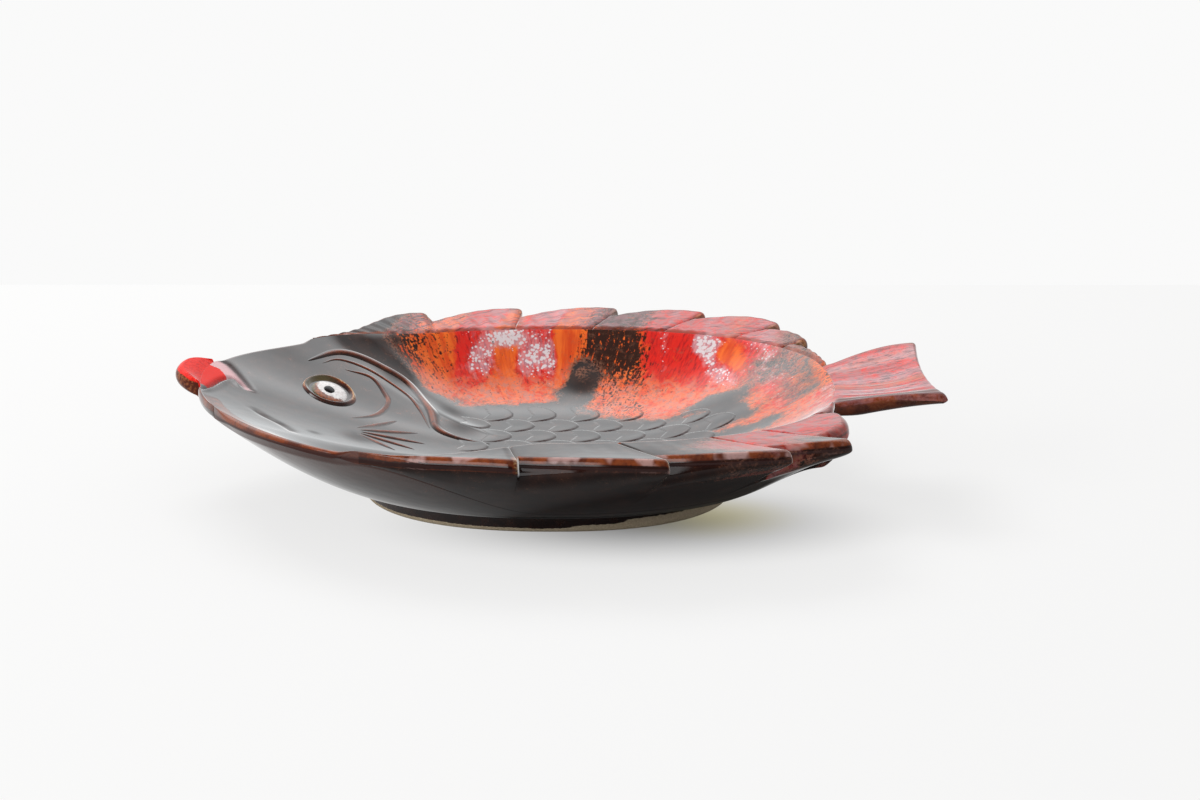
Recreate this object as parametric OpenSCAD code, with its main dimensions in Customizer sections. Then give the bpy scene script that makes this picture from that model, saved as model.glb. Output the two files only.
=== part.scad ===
// A fish shaped serving platter of glazed earthenware, in millimetres.
// +X points to the tail, +Y to the back fin and +Z up. The foot stands on z = 0.

/* [Body] */
// Reach of the head, from the centre to the mouth
head_reach = 146; // [134:1:158]
// Reach of the body, from the centre to the root of the tail
tail_reach = 116; // [105:1:128]
// Reach of the body, from the centre to the crease of the back fin
back_reach = 86; // [76:1:96]
// Reach of the rim, from the centre to the edge of the belly
belly_reach = 115; // [104:0.5:126]
// Height of the rim above the table
rim_height = 47; // [42:0.5:56]
// How much higher the rim stands at the brow
brow_lift = 2; // [0:0.5:4]
// Height of the crease between the dish and its fins
crease_height = 45; // [40:0.5:54]
// Height of the floor inside the dish
floor_height = 16; // [13:0.5:22]
// Thickness of the clay at the rim
rim_thickness = 5; // [3.5:0.5:7]
// How far the edge of the rim is rounded inwards
rim_rounding = 1.8; // [0.5:0.1:2.4]

/* [Foot] */
// Length of the foot ring, outside
foot_length = 155; // [134:1:168]
// Width of the foot ring, outside
foot_width = 121; // [102:1:132]
// How far the foot ring is set towards the head
foot_shift = 2.5; // [0:0.5:5]
// Height of the foot ring
foot_height = 7; // [5:0.5:10]
// Thickness of the foot ring's wall
foot_wall = 7; // [4:0.5:10]

/* [Fins] */
// Width of the back fin at the tips of its lobes
back_fin_width = 25; // [18:0.5:32]
// Depth of the first notches in the back fin
back_notch = 12; // [6:1:15]
// Width of the belly fin at the tips of its lobes
belly_fin_width = 33; // [24:1:38]
// Depth of the first notches in the belly fin
belly_notch = 7; // [2:1:9]
// How far each lobe swells up before its tip
lobe_lift = 1.8; // [0.5:0.1:4]
// Width of the cut at each notch
notch_cut = 0.8; // [0.5:0.1:2]

/* [Tail] */
// Length of the tail, from its root on the body to its belly tip
tail_length = 41.5; // [32:0.5:54]
// Width of the tail across its tips
tail_tip_width = 72; // [60:1:88]
// Depth of the hollow in the tail's end
tail_hollow_depth = 2.5; // [0:0.5:8]
// Height of the tail's belly tip above the table
tail_tip_height = 51; // [46:0.5:60]
// How much higher and shorter the tail's back tip is
tail_lean = 2; // [0:0.5:5]
// Thickness of the tail at its root
tail_thickness = 8; // [5:0.5:10]
// How far the middle of the tail dips below its edges
tail_dip = 5; // [0:0.5:7]

/* [Mouth] */
// How far the upper lip stands out of the head
upper_lip_reach = 12; // [7:0.5:16]
// How far the lower lip stands out of the head
lower_lip_reach = 1.5; // [1:0.5:4]
// How far the upper lip stands above the rim
lip_rise = 3; // [1:0.5:5]

/* [Eye] */
// Length of the eye's ring
eye_length = 23; // [18:0.5:27]
// Height of the ring above the cheek
eye_rise = 2; // [1:0.1:3]
// Diameter of the white of the eye
white_width = 13; // [9:0.5:15]
// Diameter of the pupil
pupil_width = 4.6; // [3:0.1:6]

/* [Relief] */
// Width of the raised lines of the gill cover
gill_width = 5; // [3:0.5:7]
// Height of the raised lines above the dish
gill_rise = 1.8; // [0.8:0.1:3]
// Length of one scale
scale_length = 19; // [15:1:24]
// Width of one scale
scale_width = 15; // [12:1:19]
// Height of a scale's raised edge
scale_rise = 1.3; // [0.6:0.1:2]
// Length of the pectoral fin
pectoral_length = 34; // [26:1:40]
// Width of the pectoral fin at its open end
pectoral_width = 21; // [14:1:26]

// Slip layer that each piece of the relief lies on, above the dish
relief_seat = 0.3; // [0.2:0.1:0.6]

/* [Hidden] */
glaze_brown = "#2a1512";
glaze_red = "#c8201a";
glaze_white = "#e8e2dc";
clay = "#b99b74";
// Angles are measured from the tail, round by the back fin, the mouth and the belly.
angle_step = 3;
back_fin_from_angle = 11;
back_fin_to_angle = 154;
back_tip_angles = [124, 102, 79, 59, 41, 28];
belly_fin_from_angle = 234;
belly_fin_to_angle = 344;
belly_tip_angles = [259, 286, 308, 320, 336];
// The fins have come up to their full width here, and narrow again from the last two on.
back_fin_full_angle = 124;
belly_fin_full_angle = 268;
back_fin_narrow_angle = 52;
belly_fin_narrow_angle = 316;
upper_lip_from_angle = 174;
upper_lip_to_angle = 186;
lower_lip_from_angle = 188;
lower_lip_to_angle = 198;
// Angles off the mouth where the inside has its head slope and its side slope
head_angle = 25;
steep_angle = 55;
// The brow is leaner than an ellipse, most of all at this angle.
brow_from_angle = 118;
brow_angle = 158;
brow_to_angle = 176;
// The rim stands high between the first two of these angles and comes down to the third.
lift_angles = [135, 165, 210];
// The tail end of the body and the foot are fuller than an ellipse.
tail_fullness = 2.4;
foot_fullness = 2.3;
brow_fullness = 1.68;
// How fast the inside rises to its edge: towards the head, at the sides and towards the tail
head_power = 1.5;
side_power = 4;
tail_power = 2.2;
// How fast the underside rises from the foot
under_power = 1.5;
flat_share = 0.2;
fin_sweep_share = 0.35;
// The ends of both fins have this share of the full width.
last_lobe_share = 0.04;
// The last notches, as shares of the first ones
back_last_notch_share = 0.4;
belly_last_notch_share = 1.8;
rib_rows = 5;
belly_crease_reach = belly_reach - belly_fin_width;
foot_overlap = foot_wall / 10;

function clamp01(t) = min(1, max(0, t));
function ease(a, b, x) = let (t = clamp01((x - a) / (b - a))) t * t * (3 - 2 * t);
function mix(a, b, t) = a + (b - a) * t;
function turn(a) = a < 0 ? a + 360 : a >= 360 ? a - 360 : a;

// Polar reach of an oval with the given half lengths.
function oval_reach(a, half_x, half_y, fullness) =
    pow(pow(abs(cos(a)) / half_x, fullness) + pow(abs(sin(a)) / half_y, fullness), -1 / fullness);

// How far an angle has come into the belly fin or the back fin, from 0 to 1
function belly_share(a) = ease(belly_fin_from_angle, belly_fin_full_angle, a);
function back_share(a) = ease(back_fin_to_angle, back_fin_full_angle, a);

function body_reach(a) =
    let (
        half_x = cos(a) < 0 ? head_reach : tail_reach,
        half_y = sin(a) > 0 ? back_reach : mix(belly_reach, belly_crease_reach, belly_share(a)),
        lean = ease(brow_from_angle, brow_angle, a) * ease(brow_to_angle, brow_angle, a),
        fullness = cos(a) > 0 ? tail_fullness : mix(2, brow_fullness, lean)
    )
    oval_reach(a, half_x, half_y, fullness);

// Width of the fins at their lobes' tips, beyond the body
function fin_reach(a) =
    let (
        back_narrow = mix(last_lobe_share, 1, ease(back_fin_from_angle, back_fin_narrow_angle, a)),
        belly_narrow = mix(1, last_lobe_share, ease(belly_fin_narrow_angle, belly_fin_to_angle, a))
    )
    a < 180
        ? back_fin_width * back_share(a) * back_narrow
        : a < 270
            ? max(0, oval_reach(a, head_reach, belly_reach, 2) - body_reach(a))
            : belly_fin_width * belly_narrow;

// Height of the outer rim, and of the edge that the dish has inside it
function rim_top(a) =
    let (lift = ease(brow_from_angle, lift_angles[0], a) * ease(lift_angles[2], lift_angles[1], a))
    rim_height + brow_lift * lift;
function edge_height(a) = mix(rim_top(a), crease_height, a < 180 ? back_share(a) : belly_share(a));

function inside_power(a) =
    let (off_mouth = abs(a - 180), off_tail = min(a, 360 - a))
    off_mouth < 90
        ? mix(head_power, side_power, ease(head_angle, steep_angle, off_mouth))
        : mix(side_power, tail_power, ease(50, 15, off_tail));

// Height of the inside, at a share of the body's reach
function inside_height(a, share) =
    let (t = max(0, share - flat_share) / (1 - flat_share))
    mix(floor_height, edge_height(a), pow(t, inside_power(a)));

// Height of the inside above any place of the plan
function dish_height(x, y) =
    let (a = turn(atan2(y, x)))
    inside_height(a, norm([x, y]) / body_reach(a));

function foot_reach(a) =
    oval_reach(a, foot_length / 2 + foot_shift * (cos(a) < 0 ? 1 : -1), foot_width / 2, foot_fullness);

function under_height(a, reach) =
    let (
        start = foot_reach(a) + foot_overlap,
        end = body_reach(a) + fin_reach(a)
    )
    mix(foot_height, rim_top(a) - rim_thickness, pow(clamp01((reach - start) / (end - start)), under_power));

function polar(a, reach, z) = [reach * cos(a), reach * sin(a), z];

// The edge of the dish, a polygon with one corner at each step of the angle
function edge_corner(a) =
    let (b = turn(a), reach = body_reach(b))
    [reach * cos(b), reach * sin(b), edge_height(b), under_height(b, reach)];
function edge_at(a) =
    let (low = floor(a / angle_step) * angle_step, part = (a - low) / angle_step)
    mix(edge_corner(low), edge_corner(low + angle_step), part);

// Closes a ring of n points. A short ring takes a fan. The halves of a long ring mirror each
// other, so strips between them close it.
function cap(n) =
    n < 8
        ? [for (i = [1:n - 2]) [0, i, i + 1]]
        : [
            [0, 1, 2],
            [0, 2, n - 2],
            [0, n - 2, n - 1],
            for (i = [2:n / 2 - 2]) each [[i, i + 1, n - i], [i + 1, n - i - 1, n - i]],
            [n / 2 - 1, n / 2, n / 2 + 1]
        ];

// Skins rings of as many points each, an even number, and closes the first and the last ring.
module loft(rings) {
    n = len(rings[0]);
    last = len(rings) - 1;
    sides = [for (k = [0:last - 1], i = [0:n - 1])
        let (j = (i + 1) % n, a = k * n + i, b = k * n + j)
        each [[a, a + n, b + n], [a, b + n, b]]];
    first_cap = cap(n);
    last_cap = [for (face = cap(n)) [face[2], face[1], face[0]] + last * n * [1, 1, 1]];
    faces = concat(first_cap, sides, last_cap);
    polyhedron([for (ring = rings) each ring], faces, convexity = 6);
}

// Skins rings that run round in a circle.
module closed_loft(rings) {
    n = len(rings[0]);
    count = len(rings);
    faces = [for (k = [0:count - 1], i = [0:n - 1])
        let (j = (i + 1) % n, near = k * n, far = (k + 1) % count * n)
        each [[near + i, far + i, far + j], [near + i, far + j, near + j]]];
    polyhedron([for (ring = rings) each ring], faces, convexity = 6);
}

// The dish

// The rounding of the free rim fades out where a fin or a lip joins the edge.
function rounding(a) =
    rim_rounding * (
        ease(lower_lip_to_angle, lower_lip_to_angle + 6, a)
            * ease(belly_fin_from_angle, belly_fin_from_angle - 6, a)
        + ease(back_fin_to_angle, back_fin_to_angle + 3, a)
            * ease(upper_lip_from_angle, upper_lip_from_angle - 3, a)
    );

module dish_body() {
    angles = [0:angle_step:360 - angle_step];
    inside_shares = [0.98, 0.96, 0.93, 0.9, 0.86, 0.82, 0.77, 0.71,
        0.64, 0.56, 0.47, 0.38, 0.31, 0.25, flat_share];
    under_shares = [0, 0.06, 0.16, 0.3, 0.45, 0.6, 0.74, 0.86, 0.95];
    underside = [for (share = under_shares)
        [for (a = angles)
            let (reach = mix(foot_reach(a) + foot_overlap, body_reach(a), share))
            polar(a, reach, under_height(a, reach))]];
    edge_bottom = [for (a = angles) polar(a, body_reach(a) - rounding(a), under_height(a, body_reach(a)))];
    edge_middle = [for (a = angles)
        polar(a, body_reach(a), (edge_height(a) + under_height(a, body_reach(a))) / 2)];
    edge_top = [for (a = angles) polar(a, body_reach(a) - rounding(a), edge_height(a))];
    inside = [for (share = inside_shares)
        [for (a = angles) polar(a, share * body_reach(a), inside_height(a, share))]];
    color(glaze_brown) loft(concat(underside, [edge_bottom, edge_middle, edge_top], inside));
}

module foot_ring() {
    turns = [0:angle_step:360 - angle_step];
    color(clay) linear_extrude(foot_height) difference() {
        polygon([for (a = turns) foot_reach(a) * [cos(a), sin(a)]]);
        polygon([for (a = turns) (foot_reach(a) - foot_wall) * [cos(a), sin(a)]]);
    }
}

// Fins, tail and lips

// One section starts on the edge of the dish. The plan list holds its points outwards from there,
// and tops and bottoms hold their heights. The last point is the tip of the rounded edge.
function section(edge, plan, tops, bottoms) =
    let (n = len(tops) - 1)
    [
        [edge[0], edge[1], (edge[2] + edge[3]) / 2],
        for (k = [0:n]) [plan[k][0], plan[k][1], tops[k]],
        [plan[n + 1][0], plan[n + 1][1], (tops[n] + bottoms[n]) / 2],
        for (k = [n:-1:0]) [plan[k][0], plan[k][1], bottoms[k]]
    ];

// Points of a straight section: equal steps up to the rounding, then its tip
function straight_plan(edge, way, width, inset) =
    let (start = [edge[0], edge[1]])
    [for (k = [0:rib_rows]) start + way * (width - inset) * k / rib_rows, start + way * width];

function fin_section(a, share, notch) =
    let (
        angle = turn(a),
        full = fin_reach(angle),
        width = full - min(notch, full / 2) * pow(1 - share, 2) + notch_cut,
        edge = edge_at(a),
        steps = [for (k = [0:rib_rows]) k / rib_rows],
        lift = lobe_lift * sin(150 * share) * min(1, full / back_fin_width),
        rise = (rim_top(angle) - edge[2]) * min(1, width / (full + notch_cut)),
        tops = [for (s = steps) edge[2] + rise * s + lift * s * s],
        lows = [for (s = steps) edge[2] + rise * s - rim_thickness * 0.9],
        bottoms = [for (k = [0:rib_rows])
            k == 0 ? edge[3] : min(under_height(angle, body_reach(angle) + steps[k] * width), lows[k])],
        way = [cos(a) + fin_sweep_share, sin(a)]
    )
    section(edge, straight_plan(edge, way, width, rim_rounding / 2), tops, bottoms);

// Sections of a fin from one angle to the other, with a cut behind each tip. The share runs
// from 0 behind the last tip to 1 at the next one. The notches change towards the last one.
function fin_sections(from, to, tips, notch, last_share, cut) =
    let (way = to > from ? 1 : -1, bounds = concat([from], tips, [to]), last = len(bounds) - 2)
    [for (i = [0:last])
        let (
            start = bounds[i] + (i == 0 ? 0 : way * cut),
            count = ceil(abs(bounds[i + 1] - start) / angle_step),
            depth = notch * mix(1, last_share, i / last)
        )
        for (k = [0:count]) fin_section(mix(start, bounds[i + 1], k / count), k / count, depth)];

// The angle that a cut behind a tip takes up at the edge of the body
function cut_angle(reach) = atan(notch_cut / reach);

function reversed(list) = [for (i = [len(list) - 1:-1:0]) list[i]];

module back_fin() {
    cut = cut_angle(back_reach);
    rings = fin_sections(back_fin_to_angle, back_fin_from_angle, back_tip_angles, back_notch,
        back_last_notch_share, cut);
    color(glaze_red) loft(reversed(rings));
}

module belly_fin() {
    cut = cut_angle(belly_crease_reach);
    rings = fin_sections(belly_fin_from_angle, belly_fin_to_angle, belly_tip_angles, belly_notch,
        belly_last_notch_share, cut);
    color(glaze_brown) loft(rings);
}

// The tail is a fan. Its back edge bulges, its belly edge is hollow and its middle dips.
module tail_fin() {
    rows = 8;
    back_side_share = 0.47;
    tip_thickness_share = 0.6;
    rings = [for (a = [belly_fin_to_angle - 360:angle_step / 1.5:back_fin_from_angle])
        let (
            across = (a - belly_fin_to_angle + 360) / (back_fin_from_angle - belly_fin_to_angle + 360),
            bow = 1 - pow(2 * across - 1, 2),
            edge = edge_at(a),
            tip = [tail_reach + tail_length - tail_hollow_depth * bow - tail_lean * across,
                (across - 1 + back_side_share) * tail_tip_width,
                tail_tip_height + tail_lean * across],
            steps = [for (k = [0:rows]) k / (rows + 0.3)],
            plan = [for (s = concat(steps, [1]))
                [mix(edge[0], tip[0], s), mix(edge[1], tip[1], mix(1 - cos(90 * s), sin(90 * s), across))]],
            tops = [for (s = steps) mix(edge[2], tip[2], sin(90 * s)) - tail_dip * bow * sin(150 * s)],
            lows = [for (k = [0:rows]) tops[k] - tail_thickness * mix(1, tip_thickness_share, steps[k])],
            bottoms = [for (k = [0:rows]) mix(edge[3], lows[k], min(1, steps[k] * 3))]
        )
        section(edge, plan, tops, bottoms)];
    color(glaze_red) loft(rings);
}

// A lip is a thick roll in front of the head, rounded along its front. It stands out furthest
// near its back end.
module lip(from, to, reach, rise, thickness) {
    count = 12;
    lean = 0.6;
    rings = [for (k = [0:count])
        let (
            across = k / count,
            edge = edge_at(mix(from, to, across)),
            width = reach * (0.1 + 0.9 * pow(1 - pow(abs(2 * pow(across, lean) - 1), 2.5), 0.6)),
            steps = [for (i = [0:rib_rows]) i / rib_rows],
            tops = [for (s = steps) edge[2] + rise * sin(90 * s)],
            bottoms = [for (i = [0:rib_rows]) mix(edge[3], tops[i] - thickness, min(1, 2 * steps[i]))]
        )
        section(edge, straight_plan(edge, [-1, 0], width, min(rim_rounding, width) / 2), tops, bottoms)];
    color(glaze_red) loft(rings);
}

module upper_lip() {
    lip(upper_lip_from_angle, upper_lip_to_angle, upper_lip_reach, lip_rise, rim_thickness * 1.5);
}

module lower_lip() {
    lip(lower_lip_from_angle, lower_lip_to_angle, lower_lip_reach, lip_rise / 6, rim_thickness);
}

// Relief

// A place on the inside of the dish, and the same lifted by a height
function on_dish(place, lift) = [place[0], place[1], dish_height(place[0], place[1]) + relief_seat + lift];

function eye_middle() =
    let (head_share = 0.658, side_share = 0.256)
    [-head_reach * head_share, back_reach * side_share];

module eye_ring() {
    ring_width = eye_length / 8;
    roundness = 0.86;
    count = 36;
    rings = [for (k = [0:count - 1])
        let (u = [cos(360 * k / count), -sin(360 * k / count) * roundness])
        [for (rib = [[0, 0], [0.2, 0.8], [0.5, 1], [0.8, 0.8], [1, 0]])
            on_dish(eye_middle() + u * (eye_length / 2 - ring_width * rib[0]), eye_rise * rib[1])]];
    color(glaze_brown) closed_loft(rings);
}

// A low round button that follows the dish below it
module button(width, base, rise) {
    rings = [for (rib = [[1, 0], [0.92, 0.6], [0.75, 1], [0.35, 1]])
        [for (k = [0:23])
            let (u = [cos(15 * k), sin(15 * k)])
            on_dish(eye_middle() + u * width / 2 * rib[0], base + rise * rib[1])]];
    loft(rings);
}

module eye_white() {
    color(glaze_white) button(white_width, 0, eye_rise / 2);
}

module pupil() {
    color(glaze_brown) button(pupil_width, eye_rise / 2, eye_rise / 3);
}

// A smooth curve through places, one unit of t from each to the next
function curve(places, t) =
    let (
        last = len(places) - 1,
        i = min(last - 1, floor(t)),
        u = t - i,
        p0 = places[max(0, i - 1)],
        p1 = places[i],
        p2 = places[i + 1],
        p3 = places[min(last, i + 2)]
    )
    (2 * p1 + (p2 - p0) * u + (2 * p0 - 5 * p1 + 4 * p2 - p3) * u * u
        + (3 * p1 - p0 - 3 * p2 + p3) * u * u * u) / 2;

// A raised line along a curve on the dish, thin at both ends
module ridge(places, width, rise, count) {
    last = len(places) - 1;
    rings = [for (k = [0:count])
        let (
            t = last * k / count,
            ahead = curve(places, min(last, t + 0.1)) - curve(places, max(0, t - 0.1)),
            aside = [ahead[1], -ahead[0]] / norm(ahead),
            swell = 0.15 + 0.85 * pow(sin(180 * k / count), 0.6)
        )
        [for (rib = [[-0.5, 0], [-0.25, 1], [0.25, 1], [0.5, 0]])
            on_dish(curve(places, t) + aside * rib[0] * width * swell, rise * rib[1] * swell)]];
    loft(rings);
}

// Places on the body, from shares of the reach to the mouth and to the back fin's crease
function to_places(shares) = [for (share = shares) [share[0] * head_reach, share[1] * back_reach]];

module gill_cover() {
    outer_shares = [[-0.73, 0.44], [-0.64, 0.573], [-0.525, 0.605], [-0.43, 0.57], [-0.361, 0.308],
        [-0.339, 0.163], [-0.28, 0.09], [-0.185, 0.043]];
    inner_shares = [[-0.69, 0.45], [-0.64, 0.515], [-0.54, 0.51], [-0.444, 0.419],
        [-0.395, 0.293], [-0.362, 0.147]];
    color(glaze_brown) {
        ridge(to_places(outer_shares), gill_width, gill_rise, 30);
        ridge(to_places(inner_shares), gill_width * 0.6, gill_rise * 0.7, 24);
    }
}

module cheek_ridge() {
    line_shares = [[-0.622, 0.455], [-0.542, 0.453], [-0.497, 0.351], [-0.488, 0.274],
        [-0.521, 0.157], [-0.588, 0.057]];
    color(glaze_brown) ridge(to_places(line_shares), gill_width * 0.8, gill_rise * 0.7, 20);
}

// Rays that open like a fan from one root
module pectoral_fin() {
    root = [-head_reach * 0.59, -back_reach * 0.11];
    rays = 5;
    fan_share = 0.62;
    for (i = [0:rays - 1]) {
        a = 50 - i * 22;
        way = [cos(a), sin(a) * pectoral_width / (pectoral_length * fan_share)];
        tip = 1 - 0.08 * abs(i - 1.5);
        ray = [for (share = [0.18, tip * 0.6, tip]) root + way * pectoral_length * share];
        color(glaze_brown) ridge(ray, pectoral_length / 9, gill_rise * 0.8, 8);
    }
}

// Rows of scales, each a low crescent that is open to the head
module scales() {
    rows = 3;
    columns = 6;
    for (row = [-rows:rows], column = [-2:columns - 3]) {
        middle = [scale_length * (column + (row % 2 == 0 ? 0 : 0.5)), scale_width * row * 0.95];
        if (norm([middle[0] / tail_reach, middle[1] / back_reach]) < 0.62) {
            arc = [for (a = [-70:35:70]) middle + [cos(a) * scale_length / 2, sin(a) * scale_width / 2]];
            color(glaze_brown) ridge(arc, scale_width / 4, scale_rise, 6);
        }
    }
}

dish_body();
foot_ring();
back_fin();
belly_fin();
tail_fin();
upper_lip();
lower_lip();
eye_ring();
eye_white();
pupil();
gill_cover();
cheek_ridge();
pectoral_fin();
scales();
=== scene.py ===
# %% [markdown]
# # A fish shaped serving platter in reactive glaze
#
# The real object is one piece of fired earthenware: a deep oval dish that is the fish's body, with
# a lobed fin along each side, a fan tail, two lips at the mouth, an eye, gill lines and rows of
# scales, and a ring foot below. It is covered in glossy glaze that runs from brown-black at the head
# to red, orange and lavender-white at the back and tail.
#
# The measured model comes in first. It gives every place and size. Each piece below is a finer
# skin over one of its nodes, worked out from the same formulas, so the skin can't drift away.

import math

import bmesh
import bpy
import mathutils
import numpy as np
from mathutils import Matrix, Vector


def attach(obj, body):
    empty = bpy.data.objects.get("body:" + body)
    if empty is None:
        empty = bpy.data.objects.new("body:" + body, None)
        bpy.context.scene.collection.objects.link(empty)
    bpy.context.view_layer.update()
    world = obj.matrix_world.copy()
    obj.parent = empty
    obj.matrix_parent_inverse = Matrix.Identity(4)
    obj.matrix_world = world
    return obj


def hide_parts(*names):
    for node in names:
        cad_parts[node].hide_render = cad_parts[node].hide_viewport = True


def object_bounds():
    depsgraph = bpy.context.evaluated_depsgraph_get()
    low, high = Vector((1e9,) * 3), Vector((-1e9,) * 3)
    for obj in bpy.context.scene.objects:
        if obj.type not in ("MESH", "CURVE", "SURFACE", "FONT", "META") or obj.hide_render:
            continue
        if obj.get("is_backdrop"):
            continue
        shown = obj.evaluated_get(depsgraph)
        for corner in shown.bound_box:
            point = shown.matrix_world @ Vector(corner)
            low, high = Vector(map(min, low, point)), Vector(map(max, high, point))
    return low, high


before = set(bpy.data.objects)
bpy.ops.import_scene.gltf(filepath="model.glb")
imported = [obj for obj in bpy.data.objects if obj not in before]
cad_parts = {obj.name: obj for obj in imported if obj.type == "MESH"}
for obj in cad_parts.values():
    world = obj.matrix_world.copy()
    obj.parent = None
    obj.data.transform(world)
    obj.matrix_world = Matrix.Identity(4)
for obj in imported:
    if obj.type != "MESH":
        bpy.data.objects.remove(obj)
cad_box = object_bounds()


def detail(full, quick):
    return full


print("nodes:", sorted(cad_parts))
print("box in mm:", [[round(v * 1000, 1) for v in corner] for corner in cad_box])

# %% [markdown]
# ## The camera
#
# The photograph looks at the platter's belly side from about 17 degrees above the table. The lens
# was fitted to the oval foot and the rim, which are the two curves whose true shape is known.

# %% Set up the camera
camera_aim = (0.0033, 0.0247, 0.020)
camera_distance, camera_angle = 0.960, math.radians(17.5)
picture_width, shift_right, shift_up = 1200, 38, 20

camera_data = bpy.data.cameras.new("photo_camera")
camera_data.lens, camera_data.sensor_width = 66.96, 36
camera_data.shift_x = shift_right / picture_width
camera_data.shift_y = shift_up / picture_width
camera = bpy.data.objects.new("photo_camera", camera_data)
camera.location = (
    camera_aim[0],
    camera_aim[1] - camera_distance * math.cos(camera_angle),
    camera_aim[2] + camera_distance * math.sin(camera_angle),
)
camera.rotation_euler = (math.pi / 2 - camera_angle, 0, 0)
bpy.context.scene.collection.objects.link(camera)
bpy.context.scene.camera = camera
print("camera at", [round(v, 3) for v in camera.location])

# %% [markdown]
# ## The shape of the body, as formulas
#
# A potter would press a slab of clay into a carved mould. Here the mould is a set of formulas. Every
# place on the dish is named by an angle, counted from the tail round by the back fin, and by its
# share of the reach from the centre to the edge. All lengths are in millimetres, as in the measured
# model, and turn into metres only when a mesh is made.

# %% Lengths and angles of the body
head_reach, tail_reach, back_reach, belly_reach = 146.0, 116.0, 86.0, 115.0
rim_height, brow_lift, crease_height, floor_height = 47.0, 2.0, 45.0, 16.0
rim_thickness, flat_share = 5.0, 0.2
foot_length, foot_width, foot_height, foot_wall, foot_shift = 155.0, 121.0, 7.0, 7.0, 2.5
back_fin_width, back_notch = 25.0, (12.0, 4.8)
belly_fin_width, belly_notch = 33.0, (7.0, 12.6)
lobe_lift, fin_sweep, last_lobe_share = 1.8, 0.35, 0.04
back_fin_from, back_fin_to = 11, 154
back_tips = [124, 102, 79, 59, 41, 28]
belly_fin_from, belly_fin_to = 234, 344
belly_tips = [259, 286, 308, 320, 336]
print("body in mm:", head_reach + tail_reach, "by", back_reach + belly_reach)

# %% [markdown]
# ### Four small helpers
#
# Everything on a fish comes in and goes out softly. `ease` is a step with soft ends and `mix` goes
# from one value to another, so nothing starts with a kink. Angles are in degrees throughout.


# %% Soft steps and angles
def ease(a, b, x):
    t = np.clip((x - a) / (b - a), 0.0, 1.0)
    return t * t * (3 - 2 * t)


def mix(a, b, t):
    return a + (b - a) * t


def cosd(a):
    return np.cos(np.radians(a))


def sind(a):
    return np.sin(np.radians(a))


def angle_of(x, y):
    """Angle of a place in degrees, from 0 to 360."""
    return np.mod(np.degrees(np.arctan2(y, x)), 360)


print("half way up a soft step:", ease(0, 10, 5.0))

# %% [markdown]
# ### How far and how high
#
# An oval with one number for its fullness gives the reach at any angle. The body, the fins, the jaw
# and the foot are all such ovals. The inside is a flat floor and then a steep curve up to the edge.
# The underside rises from the foot.


# %% Reach and height formulas
def oval_reach(a, half_x, half_y, fullness):
    return ((abs(cosd(a)) / half_x) ** fullness + (abs(sind(a)) / half_y) ** fullness) ** (-1 / fullness)


def belly_share(a):
    return ease(belly_fin_from, 268, a)


def back_share(a):
    return ease(back_fin_to, 124, a)


def body_reach(a):
    half_x = np.where(cosd(a) < 0, head_reach, tail_reach)
    half_y = np.where(sind(a) > 0, back_reach, mix(belly_reach, belly_reach - belly_fin_width, belly_share(a)))
    lean = ease(118, 158, a) * ease(176, 158, a)
    return oval_reach(a, half_x, half_y, np.where(cosd(a) > 0, 2.4, mix(2, 1.68, lean)))


def fin_reach(a):
    back = back_fin_width * back_share(a) * mix(last_lobe_share, 1, ease(back_fin_from, 52, a))
    jaw = np.maximum(0, oval_reach(a, head_reach, belly_reach, 2) - body_reach(a))
    belly = belly_fin_width * mix(1, last_lobe_share, ease(316, belly_fin_to, a))
    return np.where(a < 180, back, np.where(a < 270, jaw, belly))


def rim_top(a):
    return rim_height + brow_lift * ease(118, 135, a) * ease(210, 165, a)


def edge_height(a):
    return mix(rim_top(a), crease_height, np.where(a < 180, back_share(a), belly_share(a)))


def inside_height(a, share):
    off_mouth, off_tail = abs(a - 180), np.minimum(a, 360 - a)
    at_head, at_tail = mix(1.5, 4, ease(25, 55, off_mouth)), mix(4, 2.2, ease(50, 15, off_tail))
    t = np.maximum(0, share - flat_share) / (1 - flat_share)
    return mix(floor_height, edge_height(a), t ** np.where(off_mouth < 90, at_head, at_tail))


def foot_reach(a):
    half_x = foot_length / 2 + foot_shift * np.where(cosd(a) < 0, 1, -1)
    return oval_reach(a, half_x, foot_width / 2, 2.3)


def under_height(a, reach):
    start, end = foot_reach(a) + foot_wall / 10, body_reach(a) + fin_reach(a)
    rise = np.clip((reach - start) / (end - start), 0, 1) ** 1.5
    return mix(foot_height, rim_top(a) - rim_thickness, rise)


print("reach at the mouth, back, tail:", body_reach(np.array([180.0, 90.0, 0.0])))

# %% [markdown]
# ## Soft creases
#
# Wet glaze rounds every crease. Where the steep inside wall meets a fin, the two slopes are blended
# over a few millimetres on both sides, with one formula that the dish and the fins share, so that
# their skins meet in a smooth line.

# %% Blend two slopes
crease_half = 3.0


def soft_turn(d):
    """Extra height of a smooth bend over a sharp one, for one unit of change in slope."""
    inside = abs(d) < crease_half
    return np.where(inside, (d + crease_half) ** 2 / (4 * crease_half) - np.maximum(d, 0), 0.0)


def wall_slope(a):
    step = 0.004
    rise = inside_height(a, np.ones_like(a)) - inside_height(a, np.full_like(a, 1 - step))
    return rise / (step * body_reach(a))


def fin_slope(a):
    reach = fin_reach(a)
    fin = np.where(reach > 1, (rim_top(a) - edge_height(a)) / np.maximum(reach, 1), 0.0)
    return mix(fin, 0.1, np.where(a < 180, ease(20, 11, a), ease(335, 344, a)))


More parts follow.
